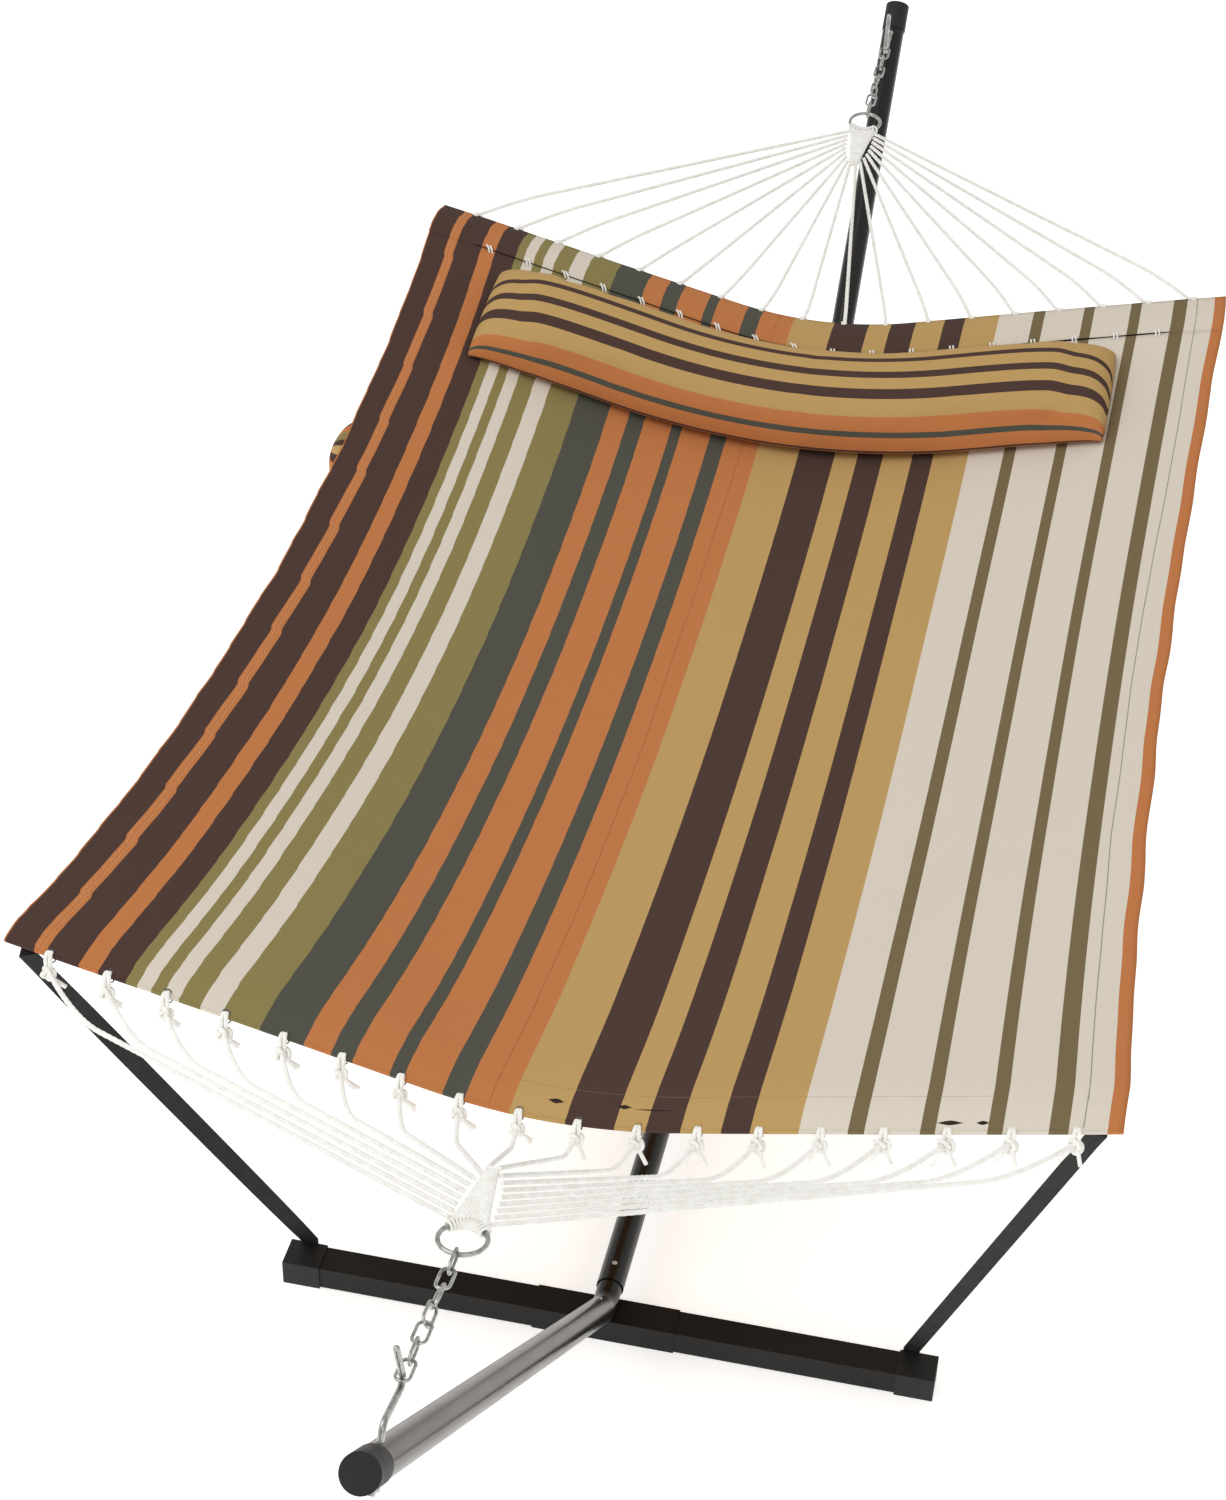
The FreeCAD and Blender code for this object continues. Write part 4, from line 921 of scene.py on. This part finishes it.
# Colour and width of each stripe in degrees, from the front seam over the top, then underneath.
PILLOW_STRIPES = [
    (ORANGE, 16), (SLATE, 7), (ORANGE, 17), (TAN, 20), (DARK, 11), (TAN, 12), (DARK, 7),
    (TAN, 12), (DARK, 7), (TAN, 71), (TAN, 60), (ORANGE, 117), (DARK, 3),
]


def pillow_turns():
    """Angles of the pillow's lengthwise lines, and the colour between each pair."""
    turns, colours = [0], []
    for colour, width in PILLOW_STRIPES:
        steps = max(1, round(width / 5))
        for _ in range(steps):
            turns.append(turns[-1] + width / steps)
            colours.append(colour)
    return turns, colours


def pillow_point(share, turn):
    """Place on the pillow: share runs from -1 to 1 along it, turn is in degrees round it."""
    c, s = math.cos(math.radians(turn)), math.sin(math.radians(turn))
    full = max(0, 1 - abs(share) ** 9) ** 0.5
    x = PILLOW_SHIFT + share * PILLOW_LENGTH / 2
    drawn = 1 - 0.03 * (1 - full) - 0.012 * math.cos(share * math.pi / 2)
    y = PILLOW_PLACE - math.copysign(abs(c) ** 0.9, c) * PILLOW_DEPTH / 2 * drawn
    seam = PILLOW_THICKNESS * PILLOW_SEAM
    if s >= 0:
        height = seam + s ** 0.92 * (PILLOW_THICKNESS - seam)
    else:
        height = seam * (1 - abs(s) ** 0.4)
    z = bed_height(x, y) + QUILT + PILLOW_GAP + height * max(full, 0.02)
    return Vector((x, y, z))


def make_pillow():
    turns, colours = pillow_turns()
    lengthwise = 130
    bm = bmesh.new()
    yarn = bm.loops.layers.float_color.new("yarn")
    bmesh.ops.create_grid(bm, x_segments=lengthwise, y_segments=len(colours), size=1)
    for face in bm.faces:
        row = int((face.calc_center_median().y + 1) / 2 * len(colours))
        for loop in face.loops:
            loop[yarn] = dye(colours[row])
        face.smooth = True
    for vertex in bm.verts:
        row = round((vertex.co.y + 1) / 2 * len(colours))
        share = math.sin(vertex.co.x * math.pi / 2) * 0.35 + vertex.co.x * 0.65
        vertex.co = pillow_point(share, turns[row])
    bmesh.ops.remove_doubles(bm, verts=list(bm.verts), dist=0.00001)
    bmesh.ops.holes_fill(bm, edges=[e for e in bm.edges if e.is_boundary])
    bmesh.ops.recalc_face_normals(bm, faces=list(bm.faces))
    mesh = bpy.data.meshes.new("striped_pillow")
    bm.to_mesh(mesh)
    bm.free()
    return mesh


def puff(piece, cap):
    """Fill a closed cloth piece with air by simulation, moving no point further than cap."""
    flat = [vertex.co.copy() for vertex in piece.data.vertices]
    cloth = piece.modifiers.new("cloth", "CLOTH")
    cloth.settings.quality = 5
    cloth.settings.mass = 0.2
    cloth.settings.use_pressure = True
    cloth.settings.uniform_pressure_force = 4
    cloth.settings.tension_stiffness = 25
    cloth.settings.compression_stiffness = 25
    cloth.settings.bending_stiffness = 0.8
    cloth.settings.effector_weights.gravity = 0
    cloth.point_cache.frame_start, cloth.point_cache.frame_end = 1, 20
    for number in range(1, 21):
        scene.frame_set(number)
    seen = piece.evaluated_get(bpy.context.evaluated_depsgraph_get())
    moved = [vertex.co.copy() for vertex in seen.data.vertices]
    piece.modifiers.remove(cloth)
    scene.frame_set(1)
    for vertex, before, after in zip(piece.data.vertices, flat, moved):
        step = after - before
        if step.length > cap:
            step = step.normalized() * cap
        vertex.co = before + Vector((step.x, step.y, max(step.z, 0)))
    piece.data.update()


pillow = bpy.data.objects.new("striped_pillow", make_pillow())
scene.collection.objects.link(pillow)
puff(pillow, 0.008)
pillow.data.materials.append(striped_cloth("pillow_cloth"))
softened = pillow.modifiers.new("softened", "SUBSURF")
softened.levels = softened.render_levels = 1
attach(pillow, "pillow")
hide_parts("pillow")

# Side pouch --------------------------------------------------------------------------------------
# A small round pouch of the striped cloth, under the left hem.
POUCH_STRIPES = [TAN, DARK, ORANGE, TAN, DARK, ORANGE, OLIVE, DARK]


def make_pouch():
    low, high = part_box("side_pouch")
    centre = (low + high) / 2
    size = (high - low) / 2
    bm = bmesh.new()
    yarn = bm.loops.layers.float_color.new("yarn")
    bmesh.ops.create_uvsphere(bm, u_segments=64, v_segments=32, radius=1)
    bmesh.ops.rotate(bm, verts=list(bm.verts), matrix=Matrix.Rotation(math.pi / 2, 3, "Y"))
    for face in bm.faces:
        middle = face.calc_center_median()
        turn = math.atan2(middle.z, middle.y) / (2 * math.pi) * 24
        for loop in face.loops:
            loop[yarn] = dye(POUCH_STRIPES[int(turn) % len(POUCH_STRIPES)])
        face.smooth = True
    for vertex in bm.verts:
        c = vertex.co
        fold = 1 + 0.035 * math.sin(math.atan2(c.z, c.y) * 12) * (1 - c.x * c.x)
        vertex.co = Vector((
            centre.x + c.x * size.x, centre.y + c.y * size.y * fold,
            centre.z - 0.01 + c.z * size.z * 0.86 * fold,
        ))
    mesh = bpy.data.meshes.new("round_pouch")
    bm.to_mesh(mesh)
    bm.free()
    return mesh


pouch = bpy.data.objects.new("round_pouch", make_pouch())
scene.collection.objects.link(pouch)
pouch.data.materials.append(cloth_finish)
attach(pouch, "hammock")
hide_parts("side_pouch")

# Floor and light ---------------------------------------------------------------------------------
# A plain pale floor under an even white sky, with a broad soft lamp high on the left and a
# smaller, dimmer one near the foot end on the right.


def pale_floor():
    bm = bmesh.new()
    bmesh.ops.create_grid(bm, x_segments=1, y_segments=1, size=25)
    mesh = bpy.data.meshes.new("floor")
    bm.to_mesh(mesh)
    bm.free()
    floor = bpy.data.objects.new("floor", mesh)
    scene.collection.objects.link(floor)
    pale = new_finish("pale_floor", Roughness=0.9, Emission_Color=(1, 1, 1, 1),
                      Emission_Strength=0.5, Specular_IOR_Level=0.2)
    shade(pale, grain(pale, 3), dye("F6F6F5"), dye("FAFAF9"))
    mesh.materials.append(pale)
    return floor


pale_floor()
sky = bpy.data.worlds.new("sky")
sky.use_nodes = True
sky.node_tree.nodes["Background"].inputs["Color"].default_value = (1, 1, 1, 1)
sky.node_tree.nodes["Background"].inputs["Strength"].default_value = 0.74
scene.world = sky
scene.view_settings.view_transform = "Standard"
for name, place, size, power in (
    ("broad_lamp", (-2.5, -2.0, 5.0), 3.5, 85),
    ("near_lamp", (2.5, -4.5, 4.0), 2.5, 28),
):
    lamp = bpy.data.objects.new(name, bpy.data.lights.new(name, "AREA"))
    lamp.data.size = size
    lamp.data.energy = power
    lamp.location = place
    lamp.rotation_mode = "QUATERNION"
    lamp.rotation_quaternion = (Vector((0, 0, 0.7)) - lamp.location).to_track_quat("-Z", "Y")
    scene.collection.objects.link(lamp)
